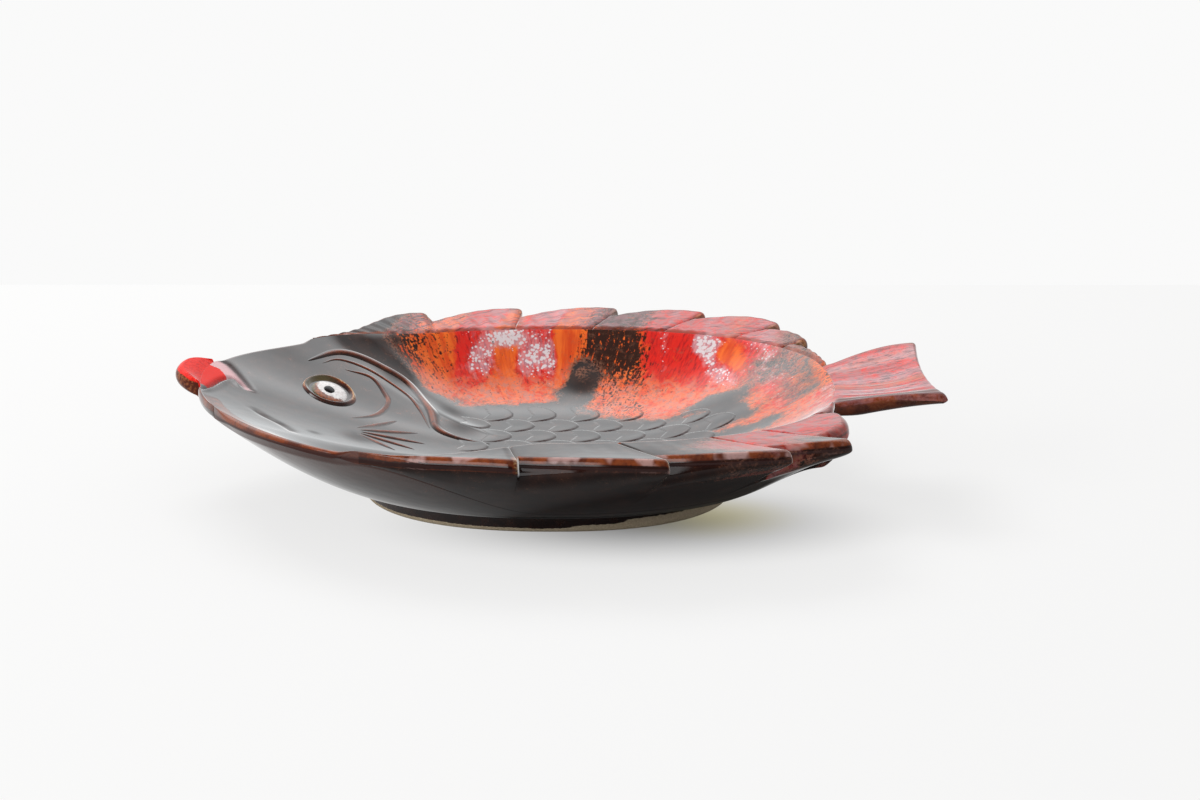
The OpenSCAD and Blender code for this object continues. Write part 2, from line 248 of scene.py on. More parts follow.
def crease_amount(a):
    """1 along the fins, 0 along the free rim and the head."""
    on_back, on_belly = ease(back_fin_to, back_fin_to - 14, a), ease(belly_fin_from, belly_fin_from + 14, a)
    return np.where(a < 180, on_back, on_belly)


print("slope of the wall at the back:", wall_slope(np.array([90.0])).round(2))

# %% [markdown]
# ## Lines pressed into the head
#
# The mouth and the cheek are grooves that a tool left in the soft clay. Each is a smooth curve
# through a few corners. Every place near it is lowered by a rounded valley, which fades at both
# ends. A line with a depth below zero is a small welt beside the mouth.


# %% Draw the lines
def line_points(corners, step=0.6):
    """A smooth curve through the corners, as close points."""
    p = np.array(corners, float)
    p = np.vstack([2 * p[0] - p[1], p, 2 * p[-1] - p[-2]])
    out = []
    for a, b, c, d in zip(p, p[1:], p[2:], p[3:]):
        count = max(2, int(np.linalg.norm(c - b) / step))
        u = (np.arange(count) / count)[:, None]
        out.append((2 * b + (c - a) * u + (2 * a - 5 * b + 4 * c - d) * u**2 + (3 * b - a - 3 * c + d) * u**3) / 2)
    return np.vstack(out + [p[-2][None]])


def off_line(x, y, points):
    """Distance of each place to a drawn line, and how far along the line it is, from 0 to 1."""
    flat = np.stack([np.ravel(x), np.ravel(y)], 1)
    best, where = np.full(len(flat), 1e9), np.zeros(len(flat))
    for k, q in enumerate(points):
        d = np.hypot(flat[:, 0] - q[0], flat[:, 1] - q[1])
        near = d < best
        best[near], where[near] = d[near], k / (len(points) - 1)
    return best.reshape(np.shape(x)), where.reshape(np.shape(x))


lip_corners = [(-142.5, 17.5), (-138.5, 18), (-134.5, 14), (-130.8, 8.8), (-127.5, 3.5), (-125.5, 0)]
lip_crease = line_points(lip_corners)
mouth_slit = line_points([(-144.5, -24), (-141.5, -14), (-138.8, 0), (-135.5, 6.5), (-131.5, 4.5), (-128.5, -1.5)])
mouth_edge = line_points([(-142.5, -25), (-139.3, -14), (-136.6, -1), (-134.2, 3.6), (-132.4, 2.2), (-130.4, -2.5)])
cheek_crease = line_points([(-124, -21), (-118, -28), (-110, -34), (-102, -45)])
# Line, half width and depth
grooves = [(lip_crease, 2.0, 0.9), (mouth_slit, 1.4, 1.3), (cheek_crease, 2.4, 0.6), (mouth_edge, 1.2, -0.8)]


def groove_depth(x, y):
    total, x, y = np.zeros(np.shape(x)), np.asarray(x), np.asarray(y)
    for points, half_width, depth in grooves:
        close = (abs(x - points[:, 0].mean()) < 40) & (abs(y - points[:, 1].mean()) < 40)
        if close.any():
            d, along = off_line(x[close], y[close], points)
            ends = np.clip(np.minimum(along, 1 - along) * 6, 0, 1)
            total[close] += depth * ends * np.exp(-((d / half_width) ** 2) * 1.6)
    return total


print("points on each line:", [len(points) for points, half_width, depth in grooves])

# %% [markdown]
# ## The finished inside
#
# The inside is the curve of the wall, with the soft bend at the fins, less the grooves. A round drop
# of glaze stands at the foot of the back wall. Everything that lies on the dish asks this one
# formula for its height, so nothing floats.

# %% Height of the finished inside
knob_x, knob_y, knob_half, knob_rise = 13.0, 69.5, 6.5, 1.5


def off_knob(x, y):
    return np.hypot(x - knob_x, y - knob_y)


def dish_height(x, y):
    """Height of the finished inside above any place of the plan."""
    x, y = np.asarray(x, float), np.asarray(y, float)
    a = angle_of(x, y)
    reach = body_reach(a)
    share = np.hypot(x, y) / reach
    bend = (fin_slope(a) - wall_slope(a)) * crease_amount(a) * soft_turn((share - 1) * reach)
    knob = knob_rise * np.exp(-((off_knob(x, y) / knob_half) ** 2.4))
    return inside_height(a, np.minimum(share, 1)) + bend - groove_depth(x, y) + knob


print("floor and wall heights:", dish_height([0, 0, 0], [0, 70, 84]).round(1))

# %% [markdown]
# ## From points to a piece
#
# Every skin is a loft: rows of points that run round the piece, joined into four-sided faces. A
# ring at an end is closed with strips straight across it, which needs no point in its middle.


# %% Faces of a loft
def loft_faces(rows, columns, round_closed, row_closed=False):
    """Faces between neighbouring rows of points."""
    k = np.arange(rows if row_closed else rows - 1)
    i = np.arange(columns if round_closed else columns - 1)
    k, i = np.meshgrid(k, i, indexing="ij")
    j, m = (i + 1) % columns, (k + 1) % rows
    return np.stack([k * columns + i, k * columns + j, m * columns + j, m * columns + i], -1).reshape(-1, 4)


def end_faces(first, count, flip):
    """Closes a ring of points with strips across it."""
    faces = []
    low, high = first, first + count - 1
    while high - low > 2:
        faces.append([low, low + 1, high - 1, high])
        low, high = low + 1, high - 1
    if high - low == 2:
        faces.append([low, low + 1, high])
    return [face[::-1] if flip else face for face in faces]


def closed_faces(points):
    """Faces of a loft of rings with both ends closed."""
    rows, columns = points.shape[:2]
    faces = loft_faces(rows, columns, True).tolist()
    return faces + end_faces(0, columns, True) + end_faces((rows - 1) * columns, columns, False)


print("a box lofted from two rings of four points:", len(closed_faces(np.zeros((2, 4, 3)))), "faces")

# %% [markdown]
# ### A finished piece
#
# One helper turns the rows into a mesh, shades it smooth but keeps true edges, stores the glaze
# marks that the shader reads, ties the piece to the platter's root and hides the node it stands for.
# Marks are numbers painted on the points, as a potter lays the second glaze on by hand. The wet glaze
# mirrors the bright room and not the platter's own walls, since the photograph shows the floor as pale
# as the open head.

# %% Make a piece
mm = 0.001
pieces = {}


def make_piece(name, node, points, faces, marks=None, edge_angle=38):
    """Builds the mesh in metres in the model's frame, and puts it in place of its node."""
    mesh = bpy.data.meshes.new(name)
    shape = np.shape(points)[:-1]
    points = np.asarray(points, float).reshape(-1, 3)
    mesh.from_pydata((points * mm).tolist(), [], [list(map(int, face)) for face in faces])
    mesh.validate()
    mesh.update()
    work = bmesh.new()
    work.from_mesh(mesh)
    if work.calc_volume(signed=True) < 0:
        bmesh.ops.reverse_faces(work, faces=work.faces)
        work.to_mesh(mesh)
    work.free()
    mesh.polygons.foreach_set("use_smooth", [True] * len(mesh.polygons))
    mesh.set_sharp_from_angle(angle=math.radians(edge_angle))
    for mark, values in (marks or {}).items():
        values = np.asarray(values, np.float32)
        if mark == "flow":
            layer, part = mesh.attributes.new(mark, "FLOAT_VECTOR", "POINT"), "vector"
        else:
            layer, part = mesh.attributes.new(mark, "FLOAT", "POINT"), "value"
            values = np.ascontiguousarray(np.broadcast_to(values, shape))
        layer.data.foreach_set(part, values.ravel())
    piece = bpy.data.objects.new(name, mesh)
    piece.visible_glossy = False
    bpy.context.scene.collection.objects.link(piece)
    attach(piece, "root")
    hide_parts(node)
    pieces[name] = piece
    print(f"{name}: {len(mesh.vertices)} points, {len(mesh.polygons)} faces")


def on_dish(x, y, lift):
    """Points on the finished inside, lifted off it."""
    return np.stack([x, y, dish_height(x, y) + lift], -1)


print("a point on the floor:", on_dish(0.0, 0.0, 0.0).round(1))

# %% [markdown]
# ## Where each glaze lies
#
# The dark base glaze is everywhere. Over it lies the reactive pour on the back, the tail and the
# tail end of the belly, and it broke into orange, red, rust speckle and lavender-white crystals as
# it ran down the steep wall. Bands along the fish say which colour the wall took, and spots say
# where the pour covers the floor. The shader then frays these soft areas with noise.

# %% Bands, patches and spots
# Place along the fish: cover of the pour, orange against red, white bloom, dark speckle
wall_bands = np.array([
    (-170, 0, 0.6, 0, 0.3), (-78, 0, 0.8, 0, 0.8), (-73, 0.9, 0.9, 0, 0.95), (-66, 1, 0.9, 0, 0.75),
    (-56, 1, 1, 0, 0.45), (-47, 1, 0.9, 0, 0.4), (-43, 1, 0.1, 0.3, 0.25), (-36, 1, 0, 0.45, 0.2),
    (-31, 1, 0.1, 0.6, 0.1), (-25, 1, 0.9, 0.35, 0.15), (-18, 1, 0.7, 0.25, 0.1),
    (-12, 1, 0, 0.5, 0.15), (-5, 1, 0, 0.6, 0.1), (-2, 1, 0.1, 0.7, 0.1), (2, 1, 1, 0.05, 0.2),
    (9, 1, 0.8, 0, 0.4), (15, 1, 0.6, 0, 0.8), (20, 1, 0.9, 0, 1), (35, 1, 0.9, 0, 1),
    (40, 1, 0.4, 0, 0.6), (45, 1, 0.1, 0.1, 0.25), (49, 1, 0.1, 0.55, 0.1), (53, 1, 0.2, 0.15, 0.1),
    (60, 1, 0, 0.05, 0.05), (66, 1, 0.1, 0.6, 0), (73, 1, 0.3, 0.45, 0), (79, 1, 0.6, 0.15, 0.1),
    (87, 1, 0.1, 0.45, 0.05), (93, 0.9, 0.2, 0.65, 0.05), (100, 0.45, 0.3, 0.45, 0.2),
    (109, 0.4, 0.7, 0.3, 0.4), (115, 0.85, 0.8, 0.15, 0.5), (135, 1, 0.5, 0.35, 0.2),
    (170, 1, 0.4, 0.45, 0.1),
])
# Patches on the wall: place along, height, half lengths, orange, bloom
wall_patches = [
    (-21, 41, 9, 4, 0.5, 1), (68, 39, 7, 5.5, 0.2, 1), (6, 42, 6, 6, 1, -0.2), (78, 37, 6, 4, 1, 0),
    (-34, 33, 5, 6, 0, 0.75), (-8, 31, 9, 7, 0, 0.8), (60, 30, 9, 7, 0.1, 0), (74, 29, 10, 6, 0.2, 0.75),
]
# Spots of the pour on the floor: place, half lengths, strength. Minus strength keeps the dark glaze.
# The spot at (9, 60), just below the knob, is painted shade of the knob.
floor_spots = [
    (-38, 60, 26, 11, 1), (-8, 58, 20, 10, 1), (28, 58, 22, 12, 1), (48, 56, 22, 16, 1),
    (72, 58, 22, 14, 1), (38, 44, 20, 9, 0.75), (60, 38, 16, 10, 0.5), (100, 22, 12, 24, 0.9),
    (112, 0, 16, 26, 1), (92, -22, 20, 12, 0.9), (74, -42, 22, 9, 0.8), (78, -68, 26, 16, 0.8),
    (108, -44, 20, 20, 0.8), (knob_x, knob_y, 7.5, 7, -1.3), (9, 60, 8, 7, -1), (-70, 49, 9, 9, -1.3),
    (-57, 45, 9, 6, -0.9), (-4, 50, 12, 5, -1), (-22, 46, 16, 5, -0.7), (92, 46, 12, 14, -0.6),
    (72, 38, 12, 7, -0.9), (84, 4, 16, 6, 0.8), (96, -62, 26, 16, 1), (74, -92, 24, 12, 0.8),
]
print(len(wall_bands), "bands,", len(wall_patches), "patches,", len(floor_spots), "spots")

# %% [markdown]
# ### The marks of a place
#
# From its place in the plan, its height and how far out on a fin it lies, every point gets five
# marks: `cover`, `orange`, `bloom` and `speckle`, and `milky` where the pour turned pale, at the
# foot of the wall. The same places give the direction in which the glaze ran.


# %% Glaze marks by place
def spots_at(x, y, spots):
    total = np.zeros(np.shape(x))
    for sx, sy, half_x, half_y, strength in spots:
        total += strength * np.exp(-((((x - sx) / half_x) ** 2 + ((y - sy) / half_y) ** 2) ** 1.4))
    return total


def in_outline(x, y, corners, soft):
    """1 inside a closed outline and 0 outside it, with a soft edge."""
    inside, best = np.zeros(np.shape(x), bool), np.full(np.shape(x), 1e9)
    for (ax, ay), (bx, by) in zip(corners, corners[1:] + corners[:1]):
        along = ((x - ax) * (bx - ax) + (y - ay) * (by - ay)) / ((bx - ax) ** 2 + (by - ay) ** 2)
        along = np.clip(along, 0, 1)
        best = np.minimum(best, np.hypot(x - mix(ax, bx, along), y - mix(ay, by, along)))
        crossed = (ay > y) != (by > y)
        inside ^= crossed & (x < ax + (y - ay) * (bx - ax) / np.where(crossed, by - ay, 1.0))
    return ease(-soft, soft, np.where(inside, best, -best))


def flow_place(x, y):
    """Places for noise that is drawn out the way the glaze ran, down the wall and out on the fins."""
    a = np.arctan2(y, x)
    return np.stack([95 * np.cos(a), 95 * np.sin(a), 0.25 * np.hypot(x, y)], -1)


def glaze_marks(x, y, z, out=0.0):
    """Marks for places of the plan at a height. out is the distance beyond the crease, on a fin."""
    along = x - fin_sweep * out
    orange, bloom, speckle = (np.interp(along, wall_bands[:, 0], wall_bands[:, c]) for c in (2, 3, 4))
    for px, pz, half_x, half_z, patch_orange, patch_bloom in wall_patches:
        near = np.exp(-((((along - px) / half_x) ** 2 + ((z - pz) / half_z) ** 2) ** 1.6)) * (out < 1)
        orange, bloom = mix(orange, patch_orange, near), mix(bloom, patch_bloom, near)
        speckle = mix(speckle, 0.05, near)
    slant = 0.9 * np.clip(45 - z, 0, 20) * ease(-45, -60, along)
    cover = np.interp(along - slant, wall_bands[:, 0], wall_bands[:, 1])
    share = np.hypot(x, y) / body_reach(angle_of(x, y))
    floor = np.clip(spots_at(x, y, floor_spots), 0, 1)
    keep_dark = np.clip(-spots_at(x, y, [s for s in floor_spots if s[4] < 0]), 0, 1)
    cover = mix(floor, cover, ease(0.70, 0.80, share) * (y > 0)) * (1 - keep_dark * (1 - ease(0.92, 1.0, share)))
    foot_of_wall = 1 - ease(0.74, 0.90, share) * (y > 0)
    orange = mix(orange, 0.70, foot_of_wall * 0.85)
    bloom, speckle = mix(bloom, 0.12, foot_of_wall * 0.75), mix(speckle, 0.30, foot_of_wall * 0.75)
    bloom = np.clip(bloom + 0.05 * ease(0.0, 3.0, out) * (y > 0), 0, 1)
    on_belly = ease(0.85, 1.0, share) * (y < 0)
    orange, bloom, speckle = mix(orange, 0.3, on_belly), mix(bloom, 0.5, on_belly), mix(speckle, 0.1, on_belly)
    return {"cover": cover, "orange": orange, "bloom": bloom, "speckle": speckle, "milky": foot_of_wall}


wall_marks = glaze_marks(np.array(0.0), np.array(80.0), np.array(40.0))
print("marks of the back wall at its middle:", {name: round(float(v), 2) for name, v in wall_marks.items()})

# %% [markdown]
# ## The dish
#
# The body could be sculpted, but a fired slab has an even wall that a formula gives for free. Rings
# run from the middle of the underside out to the edge, round the edge, and down the inside to the
# middle of the floor. They stand closer together near the edge, where a smooth bend shows most, and
# the columns stand closer together at the mouth, where grooves are pressed in.


# %% Rings of the dish
def spread_angles():
    """Angles round the dish, three times as close at the mouth."""
    fine = detail(0.36, 0.8)
    a = [0.0]
    while a[-1] < 360:
        near_mouth = 160 < a[-1] < 206
        a.append(a[-1] + (fine if near_mouth else fine * 2.7))
    return np.array(a[:-1])


def edge_round(a):
    """Radius of the free edge. It fades where a fin or a lip is joined on."""
    free = ease(198, 204, a) * ease(belly_fin_from, belly_fin_from - 6, a)
    free = free + ease(back_fin_to, back_fin_to + 3, a) * ease(174, 171, a)
    return 0.06 + 2.4 * free


def dish_rings(a):
    reach, radius = body_reach(a), edge_round(a)
    c, s = cosd(a), sind(a)
    rings, kinds = [], []

    def add(r, z, kind):
        rings.append(np.stack([r * c, r * s, z + 0 * a], 1))
        kinds.append(kind)

    foot = foot_reach(a)
    for share in (0.15, 0.35, 0.55, 0.75, 0.88):
        add(foot * share, foot_height, "under")
    for u in np.linspace(0, 1, 40):
        r = mix(foot + foot_wall / 10, reach - radius * 0.8, u**1.3)
        add(r, under_height(a, r), "under")
    low, top = under_height(a, reach), dish_height(reach * c * 0.9999, reach * s * 0.9999)
    inner_top = dish_height((reach - radius) * c, (reach - radius) * s)
    for t in np.radians([25, 50, 75, 90]):
        add(reach - radius * 0.8 * (1 - np.sin(t)), low + radius * 0.8 * (1 - np.cos(t)), "edge")
    for u in (0.3, 0.6, 0.9):
        add(reach, mix(low + radius * 0.8, inner_top - radius * 0.9, u), "edge")
    for t in np.radians([8, 20, 32, 44, 56, 68, 80]):
        w, fall = np.cos(t), (top - inner_top + 0.9 * radius) * (1 - np.sin(t))
        add(reach - radius * (1 - w), inner_top + (top - inner_top) * w - fall, "edge")
    for u in np.linspace(0, 1, detail(108, 60)) ** 1.5:
        r = mix(reach - radius, 0.02 * reach, u)
        add(r, dish_height(r * c, r * s), "inside")
    return np.array(rings), np.array(kinds)[:, None]


angles = spread_angles()
rings, kinds = dish_rings(angles)
print("rings and columns of the dish:", rings.shape[:2])

# %% [markdown]
# ### The glaze on the dish
#
# On a rounded rim the glaze runs thin and shows rust, with a dark line of painted shade below. The red
# of the upper lip runs on over the edge up to the crease of the mouth, and near that crease it turns
# pink, a painted reflection. The grooves and creases of the head are darkened with painted shade, and
# the upper outside is brown, partly the glaze's own brown and partly painted sheen, fading out towards
# the front right. A few places are `dull`, with no glassy coat: steep shaded ones behind the gill,
# small smears on the jaw, and the underside.

# %% Build the dish
lip_patch = [(-149, 19)] + lip_corners + [
    (-128.5, -1.5), (-131.5, 4.5), (-135.5, 6.5), (-138.8, 0), (-141.5, -14), (-149, -16)]
dull_spots = [
    (-90, 59, 8, 6, 1.3), (-79, 58, 12, 9, 1.4), (-68, 54, 9, 8, 1.1), (-119, -27, 4, 2.5, 0.7),
    (-112, -33, 4, 2.5, 0.7), (-97, -31, 3, 3, 0.9), (-80, -19, 8, 9, 0.9), (-46, 36, 6, 9, 0.9),
    (-38, 20, 8, 9, 0.8),
]


def rim_crest(below):
    """Rust on a rounded rim: broad along its top, and a thin line along its lower edge."""
    return 0.78 * ease(2.7, 1.9, below) + 0.5 * np.exp(-(((below - 4.5) / 0.5) ** 2))


def rim_pool(below):
    """Painted shade: a dark line between the two."""
    return 0.9 * np.exp(-(((below - 3.3) / 0.8) ** 2))


def dish_marks(points, kinds, a):
    x, y, z = points[..., 0], points[..., 1], points[..., 2]
    inside, edge = (kinds == "inside") & (x < 1e9), (kinds == "edge") & (x < 1e9)
    marks = glaze_marks(x, y, z)
    marks["cover"], marks["bloom"] = (np.where(inside, marks[mark], 0.0) for mark in ("cover", "bloom"))
    share, below = np.hypot(x, y) / body_reach(a)[None], edge_height(a)[None] - 0.6 - z
    free_rim = (ease(189, 193, a) * (a < 240))[None]
    on_lip = in_outline(x, y, lip_patch, 0.5) * (inside | edge)
    to_lip_crease = off_line(np.where(abs(x + 134) < 15, x, 99), y, lip_crease)[0]
    # Painted shade in the grooves of the head and along the crease of the lip
    creases = np.clip(1.2 * groove_depth(x, y), 0, 1) * (1 - 0.5 * on_lip)
    creases = np.maximum(creases, ease(2.4, 1.1, to_lip_crease) * (1 - on_lip))
    dull = np.where(inside | edge, np.clip(spots_at(x, y, dull_spots), 0, 1), 1.0)
    knob_cover = np.where(inside, 0.42 * ease(5.0, 2.5, off_knob(x, y)), 0)
    return {
        **marks,
        "cover": np.maximum(marks["cover"], knob_cover),
        "speckle": mix(marks["speckle"], 1.0, ease(5.0, 3.5, off_knob(x, y))),
        "crest": np.where(inside, 0.75 * ease(0.945, 0.965, share), rim_crest(below)) * free_rim,
        "pool": np.where(inside, creases, rim_pool(below) * free_rim),
        "dull": np.maximum(dull, edge * ease(1.6, 2.6, below)),
        "lip": on_lip,
        # Pink near the lip's crease is a painted reflection
        "lip_sheen": ease(8.0, 5.5, off_line(np.where(on_lip > 0, x, 0), y, lip_crease)[0]),
        # Brown on the upper outside, partly the glaze's own brown and partly painted sheen, fading out towards the
        # front right
        "outer_brown_and_sheen": np.where(inside, 0.0, ease(22, 42, z)) * ease(300, 215, a)[None],
        "flow": flow_place(x, y),
    }


make_piece("dish_skin", "dish_body", rings, closed_faces(rings), dish_marks(rings, kinds, angles))

# %% [markdown]
# ## The foot ring
#
# The platter stands on an oval ring that was trimmed while the clay was stiff. The potter wipes the
# glaze off its lower edge so that it doesn't stick to the kiln shelf, and a strip of bare, sandy
# clay stays. Its walls lean in slightly and its lower edges are eased.


# %% Build the foot ring
def foot_rings(a):
    c, s = cosd(a), sind(a)
    outer, inner, top = foot_reach(a), foot_reach(a) - foot_wall, foot_height + 0.25
    profile = [
        (outer, top), (outer - 0.1, 5.4), (outer - 0.25, 3.6), (outer - 0.3, 2.2), (outer - 0.3, 1.3),
        (outer - 0.45, 0.6), (outer - 0.9, 0.12), (outer - 1.6, 0.0), (inner + 1.6, 0.0),
        (inner + 0.8, 0.15), (inner + 0.4, 0.8), (inner + 0.2, 3.0), (inner, 5.4), (inner - 0.4, top),
    ]
    return np.array([np.stack([r * c, r * s, z + 0 * a], 1) for r, z in profile])


foot_angles = np.arange(0, 360, 1.5)
rings = foot_rings(foot_angles)
faces = loft_faces(*rings.shape[:2], True, row_closed=True)
wobble = 0.35 * np.sin(np.radians(foot_angles * 5)) + 0.25 * np.sin(np.radians(foot_angles * 13 + 40))
off_right_end = np.minimum(abs(foot_angles - 335), 360 - abs(foot_angles - 335))
bare_line = 1.7 + wobble * 0.6 + 2.6 * ease(75, 20, off_right_end)
bare = ease(0.5, -0.5, rings[..., 2] - bare_line[None])
make_piece("foot_skin", "foot_ring", rings, faces, {"bare": bare, "flow": rings})

# %% [markdown]
# ## The fins
#
# Each fin is a flat lip of clay beyond the crease, cut into lobes that lean to the tail like saw
# teeth. A lobe widens and lifts to its tip, then the next one starts behind it with a short step. A
# fin is a loft of many thin sections. Two sections at each cut give the upright end of the lobe,
# and the sections close to a tip shrink along a quarter circle, because the clay is rounded there.

# %% Columns of a fin
mean_reach, corner_radius, overhang = 100, 2.6, 0.7
tip_steps = np.array([2.5, 2.0, 1.5, 1.1, 0.7, 0.4, 0.18, 0.05, 0])


def fin_columns(start, stop, tips, spacing):
    """For each section: angle, share of the lobe, distance to the lobe's tip, and which lobe, 0 to 1."""
    way = 1 if stop > start else -1
    bounds = [start] + tips + [stop]
    out = []
    for i in range(len(bounds) - 1):
        a0 = bounds[i] + (0 if i == 0 else way * 0.5)
        span = abs(bounds[i + 1] - a0)
        size = span * math.pi / 180 * mean_reach
        shares = np.linspace(0, 1 - 3.0 / size, max(6, int(size / spacing)))
        for share in np.append(shares, 1 - tip_steps / size):
            out.append((a0 + way * span * share, share, (1 - share) * size, i / (len(bounds) - 2)))
    return np.array(out)


class Loft:
    """Rings of points, each with a place from 0 at the body to 1 at the edge, and a kind."""

    def __init__(self):
        self.rings, self.places, self.kinds = [], [], []

    def add(self, x, y, z, place, kind):
        self.rings.append(np.stack([x, y, z], 1))
        self.places.append(place + 0 * x)
        self.kinds.append(kind)

    def done(self):
        return np.array(self.rings).transpose(1, 0, 2), np.array(self.places).T, np.array(self.kinds)[None]


def quarter_round(distance, radius):
    """How far a quarter circle has fallen, from 1 at its end to 0 at its radius."""
    return 1 - np.sqrt(np.clip(1 - np.clip(1 - distance / radius, 0, 1) ** 2, 0, 1))


print("sections of the back fin:", len(fin_columns(back_fin_to, back_fin_from, back_tips, 1.0)))

# %% [markdown]
# ### One section of a fin
#
# A section runs along the top from the crease to the edge, over the rounded edge, down its front in
# one smooth curve, and back under the fin to the wall. Rays are fine waves on the top. The underside
# follows the curve that the dish has below, so that both read as one bowl from outside.


# %% Sections of a fin
def fin_skin(start, stop, tips, notch, ray_height):
    cols = fin_columns(start, stop, tips, detail(1.0, 2.2))
    a, share, to_tip = np.mod(cols[:, 0], 360), cols[:, 1], cols[:, 2]
    full = fin_reach(a)
    round_off = quarter_round(to_tip, corner_radius)
    width = full - np.minimum(mix(*notch, cols[:, 3]), full / 2) * (1 - share) ** 2 + overhang
    width = width - np.minimum(2.8, width * 0.3) * round_off
    edge_r = body_reach(a)
    ex, ey, ez = edge_r * cosd(a), edge_r * sind(a), edge_height(a)
    way_x, way_y = cosd(a) + fin_sweep, sind(a)
    length = np.hypot(way_x, way_y)
    lift = lobe_lift * sind(150 * share) * np.minimum(1, full / back_fin_width)
    rise = (rim_top(a) - ez) * np.minimum(1, width / (full + 0.8))
    bend = (fin_slope(a) - wall_slope(a)) * crease_amount(a)
    arc = np.concatenate([[0], np.cumsum(np.hypot(np.diff(ex), np.diff(ey)))])
    ray_share = np.clip(np.minimum(to_tip, 5) / 5, 0, 1)
    edge_radius = np.minimum(2.4, width * 0.35)
    flat_width = width - edge_radius
    loft, out_by = Loft(), []

    def add(out, z, s, kind):
        loft.add(ex + way_x * out, ey + way_y * out, z, s, kind)
        out_by.append(out)

    def top_at(s):
        """Top of the fin at s from the crease, 0, to where the edge starts to round, 1."""
        rays = ray_height * np.sin(2 * math.pi * (arc + 7 * s) / 6.4) * np.sin(math.pi * np.clip(s, 0, 1) ** 0.8)
        soft = bend * soft_turn(s * width * length)
        return ez + rise * s + lift * s * s + rays * ray_share + soft - 0.9 * round_off

    def low_at(out):
        """Underside of the fin, out mm beyond the crease."""
        px, py = ex + way_x * out, ey + way_y * out
        bowl = under_height(angle_of(px, py), np.hypot(px, py))
        low = mix(bowl, under_height(a, edge_r + out), (out / width) ** 2)
        thin = mix(ez, top_end, out / width) - rim_thickness * 0.9
        return np.minimum(low, thin) + 1.2 * round_off * ease(0.55, 1, out / width)

    for s in np.linspace(0, 1, detail(30, 16)) ** 1.35:
        add(flat_width * s, top_at(s * flat_width / width), s, "top")
    top_end = top_at(flat_width / width)
    drop = np.minimum(4.2, edge_radius * 1.8)
    for t in np.radians([12, 24, 35, 45, 55, 66, 78, 90]):
        fall = drop * (1 - np.cos(t))
        add(flat_width + edge_radius * np.sin(t), top_end - fall, 1 + fall, "tip")
    level = top_end - drop
    wide_below = width + 0.5 * (full + overhang - width) * ease(0.0, 3.0, to_tip)
    inner = wide_below - np.minimum(6.5, width * 0.5)
    corner, low_in = np.minimum(low_at(wide_below), level - 0.8), low_at(inner)
    for u in (0.12, 0.25, 0.38, 0.52, 0.66, 0.8, 0.9, 1.0):
        z = (1 - u) ** 2 * level + 2 * u * (1 - u) * corner + u * u * low_in
        out = (1 - u) ** 2 * width + 2 * u * (1 - u) * wide_below + u * u * inner
        add(out, z, 1 + top_end - z, "tip")
    low_wall = under_height(a, edge_r)
    for s in np.linspace(1, 0, 14)[1:]:
        add(inner * s, low_at(inner * s) if s > 0 else low_wall, s, "low")
    add(0 * width, mix(low_wall, ez + bend * soft_turn(0 * width), 0.5), 0.0, "wall")
    return *loft.done(), np.array(out_by).T, to_tip[:, None], arc[:, None]


print("width of the back fin at its middle:", float(fin_reach(np.array(90.0))), "mm")

# %% [markdown]
# ### The glaze on the fins
#
# The pour lies on the top of a fin only. Rust shows along the rounded edge, at the tips and in the
# crease. The cut ends of the lobes are olive, and their runs of glaze go outwards.


# %% Build both fins
def build_fin(name, node, start, stop, tips, notch, ray_height, seam):
    points, s, kinds, out_by, to_tip, arc = fin_skin(start, stop, tips, notch, ray_height)
    on_top = (kinds == "top") | (kinds == "tip")
    marks = glaze_marks(points[..., 0], points[..., 1], points[..., 2], out_by)
    marks["cover"], marks["bloom"] = (np.where(on_top, marks[mark], 0.0) for mark in ("cover", "bloom"))
    near_tip = ease(2.6, 0.8, to_tip) * ease(0.6, 0.9, s) * on_top * ease(7.5, 5, s)
    end_face = (to_tip < 0.1) * ease(0.5, 0.9, s) * ease(5.5, 4, s)
    edge_crest = np.where(kinds == "tip", rim_crest(s - 1), 0.78 * ease(0.95, 1.0, s) * (kinds == "top"))
    seam_crest = 0.7 * ease(seam, seam - 0.8, abs(out_by - 0.6)) * (kinds == "top")
    no_coat = np.maximum(ease(3.0, 4.2, s), ease(3.2, 2.0, to_tip))
    make_piece(name, node, points, closed_faces(points), {
        **marks,
        "milky": 0.25,
        "on_fin": 0.6,
        "crest": np.maximum(np.maximum(edge_crest, near_tip * 0.95), seam_crest),
        "cut": end_face * 0.6 * on_top,
        # Painted shade: a dark line below the rust of the fin's edge
        "pool": np.where(kinds == "tip", rim_pool(s - 1), 0),
        "dull": np.where(on_top, 0.6 + 0.4 * no_coat, 1.0),
        "flow": np.stack([0.8 * (out_by - 0.55 * arc), 0.12 * arc + 0 * s, 0 * s], -1),
    })


build_fin("back_fin_skin", "back_fin", back_fin_to, back_fin_from, back_tips, back_notch, 0.28, 1.5)
build_fin("belly_fin_skin", "belly_fin", belly_fin_from, belly_fin_to, belly_tips, belly_notch, 0.03, 2.8)

# %% [markdown]
# ## The tail
#
# The tail is a thick fan that bends up from the body. Its back edge bulges out, its belly edge
# swings in and out again to a blunt tip, and rays run along it. The side edges are rolled, so each
# side section is drawn in along a quarter circle.

# %% Sections of the tail
tail_length, tail_width, tail_back_side, tail_hollow = 41.5, 72.0, 0.47, 2.5
tail_lean, tail_tip, tail_thickness, tail_dip = 2.0, 51.0, 8.0, 5.0
tail_rays, tail_end, tail_span = 9, 0.955, 62


